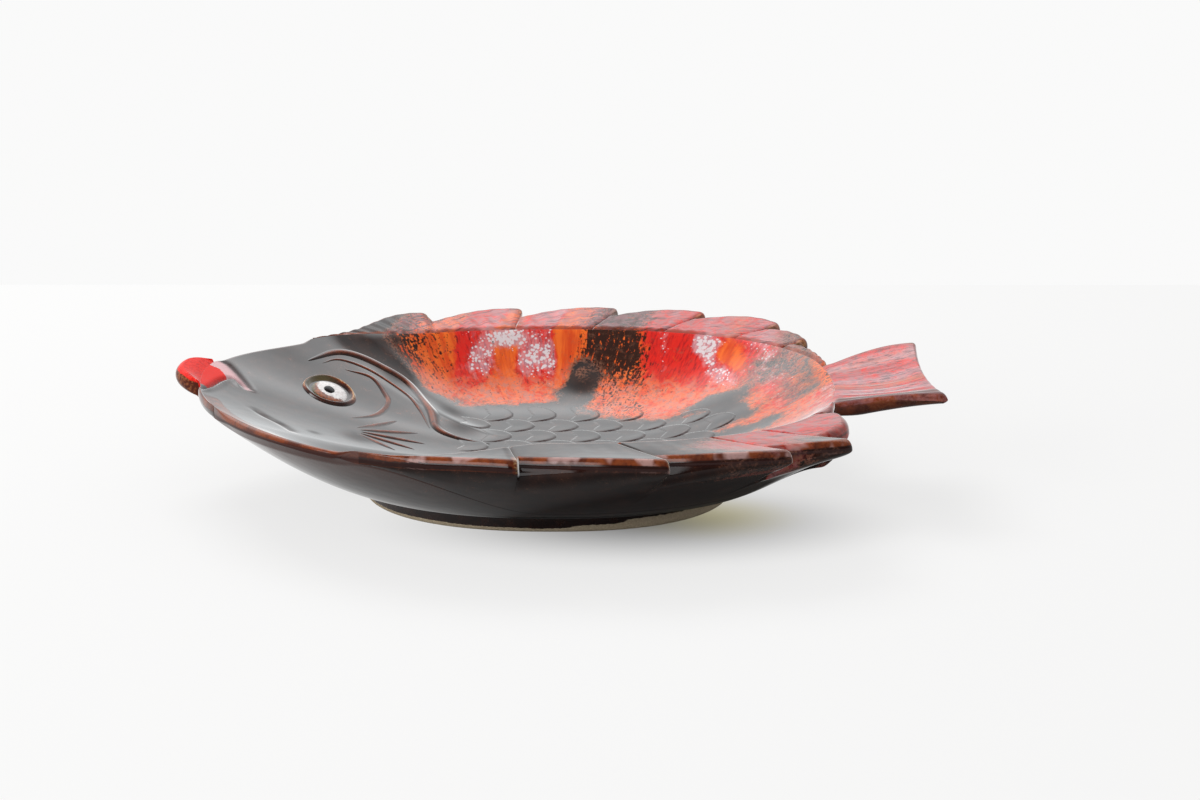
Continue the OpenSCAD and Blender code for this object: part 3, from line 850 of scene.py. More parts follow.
def tail_skin():
    first, last = belly_fin_to - 360 - 0.9, back_fin_from
    edge_steps = np.array([0, 0.002, 0.006, 0.013, 0.022, 0.034])
    inner = np.linspace(0.05, 0.95, detail(60, 30))
    across = np.concatenate([edge_steps, inner, 1 - edge_steps[::-1]])
    a = first + (last - first) * across
    b = np.mod(a, 360)
    reach = body_reach(b)
    ex, ey, ez, eb = reach * cosd(a), reach * sind(a), edge_height(b), under_height(b, reach)
    bow = 1 - (2 * across - 1) ** 2
    tip_x = tail_reach + tail_length - tail_hollow * bow - tail_lean * across
    tip_y = (across - 1 + tail_back_side) * tail_width
    tip_z = tail_tip + tail_lean * across
    side = np.minimum(across, 1 - across)
    round_off = quarter_round(side * tail_span, corner_radius)
    bend = (mix(0.1, 0.12, across) - wall_slope(b)) * crease_amount(b)
    loft = Loft()

    def place(s):
        px = mix(ex, tip_x, s)
        py = mix(ey, tip_y, mix(1 - np.cos(s * math.pi / 2), np.sin(s * math.pi / 2), across))
        top = mix(ez, tip_z, np.sin(s * math.pi / 2)) - tail_dip * bow * np.sin(np.radians(150 * s))
        return px, py, top

    for s in np.linspace(0, 1, detail(34, 18)) ** 1.25 * tail_end:
        px, py, top = place(s)
        rays = 0.22 * np.cos(2 * math.pi * across * tail_rays) * math.sin(math.pi * min(1, s)) ** 0.7
        soft = bend * soft_turn(np.hypot(px - ex, py - ey))
        z = top + rays * ease(0.0, 0.08, side) + soft - 2.0 * round_off * ease(0, 0.15, s)
        loft.add(px, py, z, s, "top")
    (px1, py1, _), (px0, py0, _), top0 = place(1.0), place(tail_end), loft.rings[-1][:, 2]
    low0 = np.minimum(top0 - tail_thickness * mix(1, 0.6, tail_end) + 3.2 * round_off, top0 - 1.5)
    for t in np.radians([20, 40, 60, 80, 90, 100, 120, 140, 160]):
        z = (top0 + low0) / 2 + (top0 - low0) / 2 * np.cos(t)
        loft.add(mix(px0, px1, np.sin(t)), mix(py0, py1, np.sin(t)), z, 1.0, "tip")
    for s in np.linspace(1, 0, 20) * tail_end:
        px, py, top = place(s)
        low = top - tail_thickness * mix(1, 0.6, s) + 3.2 * round_off * ease(0, 0.15, s)
        low = np.minimum(low, top - 2.0 * round_off - 1.5)
        loft.add(px, py, mix(eb, low, min(1, s * 3)), s, "low")
    loft.add(ex, ey, (ez + bend * soft_turn(0 * ex) + eb) / 2, 0.0, "wall")
    return *loft.done(), across[:, None]


points, s, kinds, across = tail_skin()
print("rows and columns of the tail:", points.shape[:2])

# %% [markdown]
# ### The glaze on the tail
#
# The tail wears the pour all over its top, in long bands of orange, red and lavender that fan out
# with the rays. Rust shows along the rolled sides, and its near side is broad and rusty, darkened with
# painted shade.

# %% Build the tail
on_top = (kinds == "top") | (kinds == "tip")
side = np.minimum(across, 1 - across)
near_edge = ease(0.18, 0.12, across) * ease(0.0, 0.08, s) * (kinds != "wall")
side_crest = 0.8 * ease(0.05, 0.012, side) * ease(0.1, 0.3, s) * (kinds != "wall")
tip_crest = np.where(kinds == "tip", 0.55, 0)
near_pool = np.where(kinds == "low", 0.5, 0.75 * ease(0.0, 0.03, across))
make_piece("tail_skin", "tail_fin", points, closed_faces(points), {
    "cover": on_top * mix(0.5, 1, ease(0, 0.06, side)),
    "orange": 0.25 + 0.35 * np.sin(across * 17),
    "bloom": np.where(on_top, 0.52 + 0.26 * np.sin(across * 23 + 1), 0),
    "speckle": 0.12,
    "milky": 0.0,
    "on_fin": 0.6,
    "crest": np.maximum(np.maximum(tip_crest, side_crest), 0.75 * near_edge),
    "dull": np.maximum(np.where(on_top, 0.55, 1.0), near_edge),
    # Painted shade along the tail's near side
    "pool": near_edge * near_pool,
    "cut": ease(0.85, 0.97, s) * ease(0.93, 0.98, across) * on_top,
    "flow": np.stack([points[..., 0] * 0.2, across * tail_span + 0 * s, points[..., 2] * 0.5], -1),
})

# %% [markdown]
# ## The lips
#
# The upper lip is a thumb of clay that curls out of the head and ends bluntly, with a bright red
# drop of glaze on it. The lower lip is only a small roll at the start of the jaw. Both are lofts
# that leave the rim and end in a half-round front.


# %% Build the lips
def build_lip(name, node, start, stop, reach, rise, thickness, roll):
    across = (1 - np.cos(np.linspace(0, math.pi, detail(64, 30)))) / 2
    a = mix(start, stop, across)
    edge_r = body_reach(a)
    ex, ey, ez, eb = edge_r * cosd(a), edge_r * sind(a), edge_height(a), under_height(a, edge_r)
    width = reach * (0.1 + 0.9 * np.clip(1 - abs(2 * across**0.6 - 1) ** 2.5, 0, 1) ** 0.6)
    front_radius = np.minimum(roll, width * 0.48)
    flat = width - front_radius
    sides = quarter_round(np.minimum(across, 1 - across), 0.16)
    loft = Loft()

    def top_at(s):
        return ez + rise * np.sin(s * math.pi / 2) * (1 - 0.55 * sides) + 0.35 * reach / 12 * np.sin(s * math.pi)

    def low_at(s):
        return top_at(s) - thickness + sides * thickness * 0.12

    for s in np.linspace(0, 1, 20):
        loft.add(ex - flat * s, ey, top_at(s * flat / width), s, "top")
    top_end, low_end = top_at(flat / width), low_at(flat / width)
    for t in np.radians(np.arange(12, 169, 13)):
        z = (top_end + low_end) / 2 + (top_end - low_end) / 2 * np.cos(t)
        loft.add(ex - (flat + front_radius * np.sin(t)), ey, z, 1 + t / math.pi, "front")
    for s in np.linspace(1, 0, 12):
        loft.add(ex - flat * s, ey, mix(eb, low_at(s * flat / width), min(1, 2 * s)), 2.0, "low")
    loft.add(ex, ey, (ez + eb) / 2, 2.0, "wall")
    points, s, kinds = loft.done()
    on_front = 0.78 * ease(1.7, 1.45, s) * (kinds == "front")
    make_piece(name, node, points, closed_faces(points), {
        "front": ease(1.1, 1.4, s) * (kinds != "wall"),
        "crest": np.where(kinds == "top", 0.78 * ease(0.2, 0.8, s), on_front),
        "flow": points,
    })


build_lip("upper_lip_skin", "upper_lip", 174, 186, 11.8, 3.0, 7.5, 3.4)
build_lip("lower_lip_skin", "lower_lip", 188, 198, 1.5, 0.5, 5.0, 0.9)

# %% [markdown]
# ## The eye
#
# An almond is drawn round the eye with a narrow ridge. It is a closed ring whose section is a low
# arch, and its ends are drawn in, most at the mouth's side. Rust shows on its crest, and olive on
# the inner slope there.

# %% Build the ring of the eye
eye_x, eye_y = -head_reach * 0.658, back_reach * 0.256
# How far the ring is drawn in, and its height there
eye_profile = [(0.0, -0.1), (0.25, 0.25), (0.55, 0.85), (0.85, 1.3), (1.15, 1.5),
               (1.5, 1.35), (1.9, 0.85), (2.3, 0.4), (2.87, -0.1), (1.4, -1.4)]


def eye_outline(turns, inset):
    c, s = cosd(turns), sind(turns)
    narrow = 1 - 0.16 * np.clip(-c, 0, 1) ** 2 - 0.05 * np.clip(c, 0, 1) ** 2
    return eye_x + c * (11.5 - inset), eye_y + s * (9.9 - inset) * narrow


turns = np.arange(0, 360, 2.5)
rings = np.array([on_dish(*eye_outline(turns, inset), lift) for inset, lift in eye_profile])
crest = np.array([0.3, 0.6, 0.9, 1.0, 1.0, 0.9, 0.5, 0.3, 0.2, 0.0])[:, None]
crest = crest * (1 - 0.5 * ease(0.1, 0.7, -sind(turns)))[None]
olive = np.array([0, 0, 0, 0, 0.3, 0.8, 1, 1, 1, 0])[:, None]
olive = olive * ease(60, 120, np.minimum(turns, 360 - turns))[None]
make_piece("eye_ring_skin", "eye_ring", rings, loft_faces(*rings.shape[:2], True, True),
           {"crest": crest * (1 - olive), "olive": olive, "flow": rings}, edge_angle=70)

# %% [markdown]
# ### The ball of the eye
#
# In the almond sits a flat ball of white glaze with a glassy black pupil. Both are the same closed
# dome in two sizes. The marks say how far each point is from the middle, and on which side.


# %% Build the white and the pupil
def build_dome(name, node, half_x, half_y, base, rise, steps):
    """A closed low dome on the inside of the dish, at the eye's middle."""
    turns = np.arange(0, 360, 4)
    radius = [0.5, 0.97] + list(np.sin(np.linspace(math.pi / 2, 0.05, steps)))
    rings = []
    for k, r in enumerate(radius):
        lift = base - 0.9 if k < 2 else base + rise * (1 - r**2.0) ** 0.5
        rings.append(on_dish(eye_x + half_x * r * cosd(turns), eye_y + half_y * r * sind(turns), lift))
    rings = np.array(rings)
    marks = {"from_left": (rings[..., 0] - eye_x) / half_x, "from_low": (rings[..., 1] - eye_y) / half_y}
    marks |= {"radius": np.array(radius)[:, None], "flow": rings}
    make_piece(name, node, rings, closed_faces(rings), marks, edge_angle=80)


build_dome("eye_white_skin", "eye_white", 7.6, 6.7, -0.15, 1.5, 14)
build_dome("pupil_skin", "pupil", 2.3, 2.3, 1.1, 1.05, 10)

# %% [markdown]
# ## Raised lines of the head
#
# The gill cover, the cheek line and the rays of the pectoral fin were drawn with trailed slip. Each
# is a soft ridge along a curve on the dish. Its sides run out into the dish, so its skin dips a
# little below the dish's skin at both sides. Glaze thins on the crest and shows rust.

# %% Build the raised lines
ridge_across = np.array([-1, -0.82, -0.64, -0.46, -0.28, -0.12, 0, 0.12, 0.28, 0.46, 0.64, 0.82, 1])
ridge_shape = np.cos(ridge_across * math.pi / 2) ** 1.5
ridge_crest = np.concatenate([0.8 * ridge_shape**0.8, [0, 0]])


def ridge_points(corners, width, rise, lean):
    middle = line_points(corners, detail(0.7, 1.4))
    ahead = np.gradient(middle, axis=0)
    aside = np.stack([ahead[:, 1], -ahead[:, 0]], 1) / np.linalg.norm(ahead, axis=1)[:, None]
    along = np.linspace(0, 1, len(middle))
    swell = 0.12 + 0.88 * np.sin(math.pi * np.clip(along, 0.001, 0.999)) ** 0.6
    rows = []
    for u, height in zip(ridge_across, ridge_shape):
        place = middle + aside * (((u + lean * (1 - u * u)) * width * 0.5) * swell)[:, None]
        z = dish_height(place[:, 0], place[:, 1]) - 0.1 + (rise + 0.1) * height * swell
        rows.append(np.column_stack([place, z]))
    for u in (0.5, -0.5):
        place = middle + aside * (u * width * 0.5 * swell)[:, None]
        rows.append(on_dish(*place.T, -0.9))
    return np.array(rows).transpose(1, 0, 2), ridge_crest[None] * (0.3 + 0.7 * swell[:, None])


def build_ridges(name, node, lines):
    """One piece of several ridges. Each line has corners, a width, a rise and a lean to one side."""
    all_points, all_faces, crests, count = [], [], [], 0
    for line in lines:
        points, crest = ridge_points(*line)
        all_faces += [[i + count for i in face] for face in closed_faces(points)]
        all_points.append(points.reshape(-1, 3))
        crests.append(crest.ravel())
        count += crest.size
    points = np.vstack(all_points)
    marks = {"crest": np.concatenate(crests), "flow": points}
    make_piece(name, node, points, all_faces, marks, edge_angle=75)


def places(*shares):
    return [(x_share * head_reach, y_share * back_reach) for x_share, y_share in shares]


gill_outer = places((-0.73, 0.44), (-0.64, 0.573), (-0.525, 0.605), (-0.43, 0.57), (-0.361, 0.308),
                    (-0.339, 0.163), (-0.28, 0.09), (-0.185, 0.043))
gill_inner = places((-0.69, 0.45), (-0.64, 0.515), (-0.54, 0.51), (-0.444, 0.419), (-0.395, 0.293),
                    (-0.362, 0.147))
cheek_line = places((-0.622, 0.455), (-0.542, 0.453), (-0.497, 0.351), (-0.488, 0.274), (-0.521, 0.157),
                    (-0.588, 0.057))
build_ridges("gill_skin", "gill_cover", [(gill_outer, 6.4, 1.7, 0.3), (gill_inner, 3.0, 0.7, 0.3)])
build_ridges("cheek_skin", "cheek_ridge", [(cheek_line, 3.6, 0.8, 0.2)])

pectoral_root, pectoral_length = np.array([-head_reach * 0.59, -back_reach * 0.11]), 34
rays = []
for i, ray_angle in enumerate((50, 28, 6, -16, -38)):
    way = np.array([cosd(ray_angle), sind(ray_angle) * 21 / (pectoral_length * 0.62)])
    reach = 1 - 0.08 * abs(i - 1.5)
    corners = [pectoral_root + way * pectoral_length * share for share in (0.18, reach * 0.6, reach)]
    rays.append((corners, 3.4, 0.9, 0.0))
build_ridges("pectoral_skin", "pectoral_fin", rays)

# %% [markdown]
# ## The scales
#
# The scales overlap like roof tiles. Each rises from the head to its round tail edge and ends there
# in a small step, darkened with painted shade, most on its belly side. The easiest true copy is one
# thin carpet over the floor, whose height is worked out scale by scale from the tail to the head, so
# that each scale covers the root of the next one behind it.

# %% Work out the scales
scale_length, scale_width, scale_rise, scaled_share = 19.0, 15.0, 0.5, 0.62
scale_half_length, scale_half_width = 10.3, 8.2


def scale_middles():
    middles = []
    for row in range(-3, 4):
        for column in range(-2, 4):
            mx, my = scale_length * (column + (0 if row % 2 == 0 else 0.5)), scale_width * row * 0.95
            if math.hypot(mx / tail_reach, my / back_reach) < scaled_share:
                middles.append((mx, my))
    return sorted(middles, key=lambda middle: -middle[0])


def scale_field(x, y):
    """Height above the dish, rust on the crests, and painted shade in the steps."""
    height, crest, pool = np.zeros(x.shape), np.zeros(x.shape), np.zeros(x.shape)
    for mx, my in scale_middles():
        u, v = (x - mx) / scale_half_length, (y - my) / scale_half_width
        d = np.sqrt(u**2 + v**2)
        bearing = np.where(d > 0, u / np.maximum(d, 1e-6), 0)
        tailward, near_side = ease(-0.15, 0.45, bearing), ease(0.35, -0.55, v / np.maximum(d, 1e-6))
        inside = ease(1.05, 0.955, d)
        ramp = scale_rise * ease(-0.75, 0.9, u) * (0.72 + 0.28 * ease(0.2, 0.95, d))
        raised = np.where(bearing > -0.35, np.maximum(ramp, height * (1 - tailward)), height)
        height = mix(height, raised, inside * ease(-0.5, 0.0, bearing + (1 - d)))
        ring = np.exp(-(((d - 0.93) / 0.05) ** 2)) * tailward
        # Painted shade in the step at each scale's tail edge, strongest on the belly side
        step = np.exp(-(((d - 1.01) / 0.10) ** 2)) * tailward
        crest = np.maximum(crest * (1 - inside), ring * 0.35 * near_side)
        pool = np.maximum(pool * (1 - inside), step * (0.35 + 0.65 * near_side))
    return height, crest, pool


print("scales:", len(scale_middles()))

# %% [markdown]
# ### The carpet of scales
#
# The carpet is a grid with an upper and a lower sheet, joined round the border. Between the scales
# the upper sheet dips below the dish, so only the scales show.

# %% Build the scales
grid_step = detail(0.7, 1.5)
grid_x, grid_y = np.meshgrid(np.arange(-52, 86, grid_step), np.arange(-62, 62.1, grid_step), indexing="ij")
lift, crest, pool = scale_field(grid_x, grid_y)
base, present = dish_height(grid_x, grid_y), ease(0.02, 0.14, lift)
top = base + np.where(lift > 0.001, lift + 0.12 * present, 0) - 0.35 * (1 - present)
rows, columns = top.shape
count = top.size
points = np.vstack([np.stack([grid_x, grid_y, z], -1).reshape(-1, 3) for z in (top, base - 1.2)])
sheet = loft_faces(rows, columns, False)
border = [(i, 0) for i in range(rows)] + [(rows - 1, j) for j in range(1, columns)]
border += [(i, columns - 1) for i in range(rows - 2, -1, -1)] + [(0, j) for j in range(columns - 2, 0, -1)]
border = [i * columns + j for i, j in border]
faces = sheet.tolist() + (sheet[:, ::-1] + count).tolist()
faces += [[b, a, a + count, b + count] for a, b in zip(border, border[1:] + border[:1])]
marks = glaze_marks(*points.T)
for mark, values in (("crest", crest), ("pool", pool)):
    marks[mark] = np.concatenate([values.ravel(), np.zeros(count)])
marks["flow"] = flow_place(*points.T[:2])
make_piece("scales_skin", "scales", points, faces, marks, edge_angle=60)

# %% [markdown]
# ## The glazes
#
# All glazed pieces share one recipe, because on the real platter one firing made every colour. The
# marks say where each glaze lies, and noise frays them. Such a recipe is a tree of shader nodes.
# Two small classes keep it short to write. A `Value` can be added and multiplied like a number, and
# each sum becomes one math node.


# %% Tools for shader nodes
class Value:
    """A number that the shader works out at each place."""

    def __init__(self, recipe, socket):
        self.recipe, self.socket = recipe, socket

    def __add__(self, other):
        return self.recipe.combine("ADD", self, other)

    def __sub__(self, other):
        return self.recipe.combine("SUBTRACT", self, other)

    def __rsub__(self, other):
        return self.recipe.combine("SUBTRACT", other, self)

    def __mul__(self, other):
        return self.recipe.combine("MULTIPLY", self, other)

    __radd__, __rmul__ = __add__, __mul__

    def sway(self, amount):
        """A noise from 0 to 1, turned to swing by an amount round 0."""
        return self * amount - amount / 2

print("sums that a value knows:", [word for word in vars(Value) if word[-4:-2] in ("dd", "ub", "ul")])

# %% [markdown]
# ### The recipe
#
# A `Recipe` adds a node, sets its inputs and links them in one line. Its other words are the few
# steps that all the finishes use: read a mark, make a soft step, blend two colours, and draw noise.


# %% The words of a recipe
class Recipe:
    """A short way to write the node tree of a material or a world."""

    def __init__(self, owner):
        owner.use_nodes = True
        self.owner, self.tree = owner, owner.node_tree
        self.tree.nodes.clear()

    def node(self, kind, values=None, **settings):
        made = self.tree.nodes.new(kind)
        for key, value in settings.items():
            setattr(made, key, value)
        for key, value in (values or {}).items():
            value = value.socket if isinstance(value, Value) else value
            if isinstance(value, bpy.types.NodeSocket):
                self.tree.links.new(value, made.inputs[key])
            else:
                made.inputs[key].default_value = value
        return made

    def value(self, kind, output=0, values=None, **settings):
        return Value(self, self.node(kind, values, **settings).outputs[output])

    def mark(self, name):
        return self.value("ShaderNodeAttribute", "Vector" if name == "flow" else "Fac", attribute_name=name)

    def combine(self, operation, a, b):
        return self.value("ShaderNodeMath", 0, {0: a, 1: b}, operation=operation)

    def step(self, value, low, high, to_low=0.0, to_high=1.0):
        values = {0: value, 1: low, 2: high, 3: to_low, 4: to_high}
        return self.value("ShaderNodeMapRange", 0, values, interpolation_type="SMOOTHSTEP")

    def blend(self, share, *colours):
        """The first colour where share is 0, and the second where it is 1."""
        first, second = (colour if isinstance(colour, Value) else (*colour, 1) for colour in colours)
        return self.value("ShaderNodeMix", 2, {0: share, 6: first, 7: second}, data_type="RGBA")

    def places(self, source=None, scale=(1000, 1000, 1000), move=(0, 0, 0)):
        """Places on the object, in mm where no other scale is given."""
        source = source or self.node("ShaderNodeTexCoord").outputs["Object"]
        return self.value("ShaderNodeMapping", 0, {"Vector": source, "Scale": scale, "Location": move})

    def noise(self, places, scale, detail=3.0, rough=0.55, warp=0.0):
        values = {"Vector": places, "Scale": scale, "Detail": detail, "Roughness": rough, "Distortion": warp}
        return self.value("ShaderNodeTexNoise", "Fac", values)

    def finish(self, colour, roughness, bump=None, bump_height=0.2, ior=1.5, coat=0.0):
        values = {"Base Color": colour, "Roughness": roughness, "IOR": ior,
                  "Coat Weight": coat, "Coat Roughness": 0.06, "Coat IOR": 1.6}
        if bump is not None:
            waves = {"Height": bump, "Distance": bump_height * mm, "Strength": 1.0}
            values["Normal"] = self.value("ShaderNodeBump", 0, waves)
        shader = self.node("ShaderNodeBsdfPrincipled", values)
        self.node("ShaderNodeOutputMaterial", {"Surface": shader.outputs[0]})
        return self.owner


def new_recipe(name):
    return Recipe(bpy.data.materials.new(name))


print("words of a recipe:", [word for word in vars(Recipe) if not word.startswith("_")])

# %% [markdown]
# ### The colours
#
# The colours are plain linear numbers, mixed against the photograph. The dark base owes its
# grey look to the bright room that it mirrors, so its own colour is nearly black.

# %% Colours of the glazes
dark_low, dark_high, dark_pool = (0.014, 0.005, 0.004), (0.036, 0.012, 0.007), (0.030, 0.006, 0.005)
orange, deep_orange = (0.92, 0.165, 0.022), (0.72, 0.070, 0.012)
red, wine = (0.78, 0.022, 0.014), (0.36, 0.010, 0.014)
white, lavender, pink = (0.80, 0.74, 0.76), (0.46, 0.31, 0.37), (0.72, 0.42, 0.44)
coral, dull_coral, mottle = (0.84, 0.19, 0.085), (0.52, 0.21, 0.17), (0.30, 0.125, 0.075)
lip_red, lip_deep, lip_sheen_pink = (0.86, 0.030, 0.020), (0.60, 0.016, 0.014), (0.78, 0.50, 0.52)
lip_dark_brown, lip_brown = (0.10, 0.022, 0.012), (0.30, 0.10, 0.04)
rust, dark_rust, hull_sheen_brown = (0.24, 0.050, 0.013), (0.10, 0.020, 0.009), (0.105, 0.036, 0.026)
tan, olive_green = (0.50, 0.28, 0.12), (0.12, 0.09, 0.035)
fin_haze, rim_pale = (0.31, 0.115, 0.125), (0.62, 0.40, 0.38)
clay_dark, clay_light = (0.42, 0.33, 0.22), (0.60, 0.50, 0.36)
eye_light, eye_shade, eye_olive = (0.80, 0.78, 0.77), (0.62, 0.58, 0.57), (0.10, 0.085, 0.035)
eye_rust, eye_dark_rust = (0.33, 0.09, 0.025), (0.14, 0.035, 0.015)
pupil_black, pupil_speck = (0.006, 0.005, 0.006), (0.016, 0.010, 0.010)
print("the base glaze reflects", round(100 * sum(dark_low) / 3, 1), "percent of the light")

# %% [markdown]
# ### The reactive glaze recipe
#
# Reading from the bottom: base, pour, crystals, flecks, haze on the fins, then the border of the
# pour, the hull, the lip, and rust on crests. Each step is one blend of two colours by a mask, like
# one coat over another.


# %% Mix the reactive glaze
def glaze(name):
    r = new_recipe(name)
    mark, step, blend = r.mark, r.step, r.blend
    here, flow = r.places(), mark("flow")
    fine = r.noise(here, 0.9, 4.0)
    soft = r.noise(here, 0.11, 4.0, 0.6)
    cloud = r.noise(here, 0.22, 5.0, 0.65, 0.6)
    runs = r.noise(flow, 0.30, 5.0, 0.62, 0.4)
    narrow_runs = r.noise(r.places(flow, (1, 1, 1.6)), 0.85, 4.0, 0.6)

    base = blend(step(soft, 0.35, 0.7), dark_low, dark_high)
    warm = step(mark("orange") + cloud.sway(1.2), 0.25, 0.75)
    reds = blend(step(narrow_runs, 0.42, 0.75), red, wine)
    oranges = blend(step(runs, 0.38, 0.66), orange, deep_orange)
    pour = blend(warm, reds, oranges)
    milky = blend(step(r.noise(here, 0.45, 4.0, 0.6), 0.42, 0.60), coral, dull_coral)
    pour = blend(mark("milky") * step(cloud, 0.36, 0.60, 0.0, 0.85), pour, milky)

    dots = r.value("ShaderNodeTexVoronoi", "Distance", {"Vector": here, "Scale": 0.62}, feature="F1")
    grown = mark("bloom") * 1.05 - 0.32 + cloud.sway(0.9)
    pale = blend(step(narrow_runs, 0.4, 0.65), pink, lavender)
    pour = blend(step(grown + runs.sway(0.9), 0.05, 0.6, 0.0, 0.75), pour, pale)
    crystal = step(grown - dots + fine * 0.5 - 0.20, 0.0, 0.14)
    few_on_fins = r.node("ShaderNodeClamp", {0: mark("on_fin") * -1.4 + 0.9})
    pour = blend(crystal * Value(r, few_on_fins.outputs[0]), pour, white)
    pour = blend(step(mark("speckle") * 0.36 + narrow_runs * 0.7 + fine * 0.5, 0.78, 0.88), pour, dark_high)

    pour = blend(mark("on_fin") * step(cloud, 0.34, 0.62, 0.0, 1.1), pour, fin_haze)
    pour = blend(step(narrow_runs, 0.53, 0.64, 0.0, 0.8) * mark("on_fin"), pour, dark_high)

    patches = r.noise(here, 0.085, 4.0, 0.6).sway(2.4) * step(mark("cover"), 0.02, 0.35)
    patches = patches * mark("milky") * (1.0 - mark("on_fin"))
    cover_at = mark("cover") + cloud.sway(1.1) + fine.sway(0.4) + patches
    covered = step(cover_at, 0.26, 0.70)
    wide = step(cover_at, 0.05, 1.05)
    border = wide * (1.0 - wide) * 4.0
    colour = blend(covered, base, pour)
    colour = blend(border * step(fine, 0.42, 0.58, 0.0, 0.75), colour, mottle)
    # The hull's brown is partly the glaze's own colour and partly painted sheen
    colour = blend(mark("outer_brown_and_sheen") * 0.8, colour, hull_sheen_brown)
    # The pink near the crease of the mouth is a painted reflection
    lip_colour = blend(step(mark("lip_sheen") + cloud.sway(1.4), 0.3, 0.6), lip_red, lip_sheen_pink)
    colour = blend(mark("lip"), colour, lip_colour)

    crest_at = mark("crest") * step(fine, 0.15, 0.55, 0.55, 1.0)
    rusty = blend(step(r.noise(here, 0.14, 3.0), 0.40, 0.62), rust, dark_rust)
    thin = blend(step(crest_at, 0.75, 1.0), rusty, tan)
    pale_at = step(r.noise(here, 0.045, 3.0, 0.6), 0.54, 0.60)
    thin = blend(pale_at * mark("on_fin"), thin, rim_pale)
    colour = blend(step(crest_at, 0.25, 0.75), colour, blend(covered * 0.5, thin, pour))
    colour = blend(mark("olive") * 0.9, colour, olive_green)
    # Painted shade: darker in grooves and creases, in the scale steps, below rims and along the tail's near side
    colour = blend(mark("pool") * 0.9, colour, dark_pool)
    colour = blend(mark("cut") * 0.8, colour, olive_green)

    # Full mirror on open glaze, less where shade is painted, on the lip and on the milky pour
    mirror = (1.0 - mark("dull")) * (1.0 - mark("pool") * 0.8) * (1.0 - mark("lip"))
    mirror = mirror * (1.0 - mark("milky") * covered * 0.2)
    thick = 1.0 - step(crest_at, 0.2, 0.6) * 0.85
    coat = mirror * thick * (0.6 - covered * (1.0 - mark("on_fin")) * 0.55)
    ripple = r.noise(here, 0.06, 2.0) * 0.5 + fine * 0.012
    return r.finish(colour, 0.07, ripple, 0.5, ior=mirror * 0.24 + 1.24 - mark("lip") * 0.11, coat=coat)


glaze_skin = glaze("reactive_glaze")
print("nodes in the reactive glaze:", len(glaze_skin.node_tree.nodes))

# %% [markdown]
# ### The other finishes
#
# The foot is bare sandy clay with a fringe of glaze. The upper lip is a thick red drop that turns
# brown at its front. The white of the eye is opaque and rusty at its lower left edge, and the pupil
# is black glass.


# %% Mix the other finishes and hand them out
def clay_finish(name):
    r = new_recipe(name)
    here = r.places()
    grain = r.noise(here, 2.2, 5.0, 0.7)
    sand = r.blend(r.step(grain, 0.35, 0.7), clay_dark, clay_light)
    glaze_part = r.blend(r.step(r.noise(here, 0.2), 0.4, 0.7), dark_low, dark_high)
    bare = r.step(r.mark("bare") + r.noise(here, 0.5).sway(0.6), 0.4, 0.6)
    return r.finish(r.blend(bare, glaze_part, sand), bare * 0.7 + 0.09, grain, 0.12)


def lip_finish(name):
    r = new_recipe(name)
    here = r.places()
    fine = r.noise(here, 0.7, 3.0)
    front = r.step(r.mark("front") + r.noise(here, 0.28, 2.0).sway(1.1), 0.42, 0.58)
    reds = r.blend(r.step(fine, 0.4, 0.7), lip_red, lip_deep)
    browns = r.blend(r.step(fine, 0.4, 0.65), lip_dark_brown, lip_brown)
    return r.finish(r.blend(front, reds, browns), 0.08, fine, 0.02, ior=1.13)


def eye_finish(name):
    r = new_recipe(name)
    fine = r.noise(r.places(), 0.8, 4.0)
    ring = r.mark("radius") + fine.sway(0.5)
    left, low = r.mark("from_left") * -1.0, r.mark("from_low") * -1.0
    colour = r.blend(r.step(fine, 0.35, 0.7), eye_light, eye_shade)
    rusty = r.blend(r.step(fine, 0.4, 0.6), eye_rust, eye_dark_rust)
    colour = r.blend(r.step(ring + low * 0.45 + left * 0.38, 0.80, 0.95), colour, rusty)
    colour = r.blend(r.step(ring + left * 0.35, 1.02, 1.2), colour, eye_olive)
    return r.finish(colour, 0.06, fine, 0.03, ior=1.55)


def pupil_finish(name):
    r = new_recipe(name)
    speck = r.noise(r.places(), 1.6, 2.0)
    return r.finish(r.blend(r.step(speck, 0.4, 0.7), pupil_black, pupil_speck), 0.05, ior=1.3)


finishes = {"foot_skin": clay_finish("foot_clay"), "upper_lip_skin": lip_finish("red_lip_glaze"),
            "eye_white_skin": eye_finish("eye_white_glaze"), "pupil_skin": pupil_finish("pupil_glaze")}
for name, piece in pieces.items():
    piece.data.materials.append(finishes.get(name, glaze_skin))
print("materials:", sorted({m.name for p in pieces.values() for m in p.data.materials}))

# %% [markdown]
# ## The table
#
# The platter stands on a white table before a white wall. The white comes from what the camera and
# the mirrors see, a plain glow, so the light on the glaze itself stays mild. A weak matt part takes
# the real shadow. The glow is dimmed in a soft oval where the platter keeps the light off, and a
# second oval dims what the glaze mirrors of the table. The shadow has a warm tint at one end.

# %% Set the table
table_half, table_far = 3.0, 0.344
table_matt, least_glow = 0.185, 0.02
warm_shade, table_white = (1.0, 0.93, 0.62), (1.0, 0.998, 0.995)


def off_oval(r, middle, half):
    """Distance from the middle of an oval on the table, 1 at its edge."""
    place = r.places(None, (1 / half[0], 1 / half[1], 1), (-middle[0] / half[0], -middle[1] / half[1], 0))
    return r.value("ShaderNodeVectorMath", "Value", {0: place}, operation="LENGTH")


def seen_by(r):
    """1 for rays from the camera, and 1 for rays that the glaze mirrors."""
    path = r.node("ShaderNodeLightPath").outputs
    return Value(r, path["Is Camera Ray"]), Value(r, path["Is Glossy Ray"])


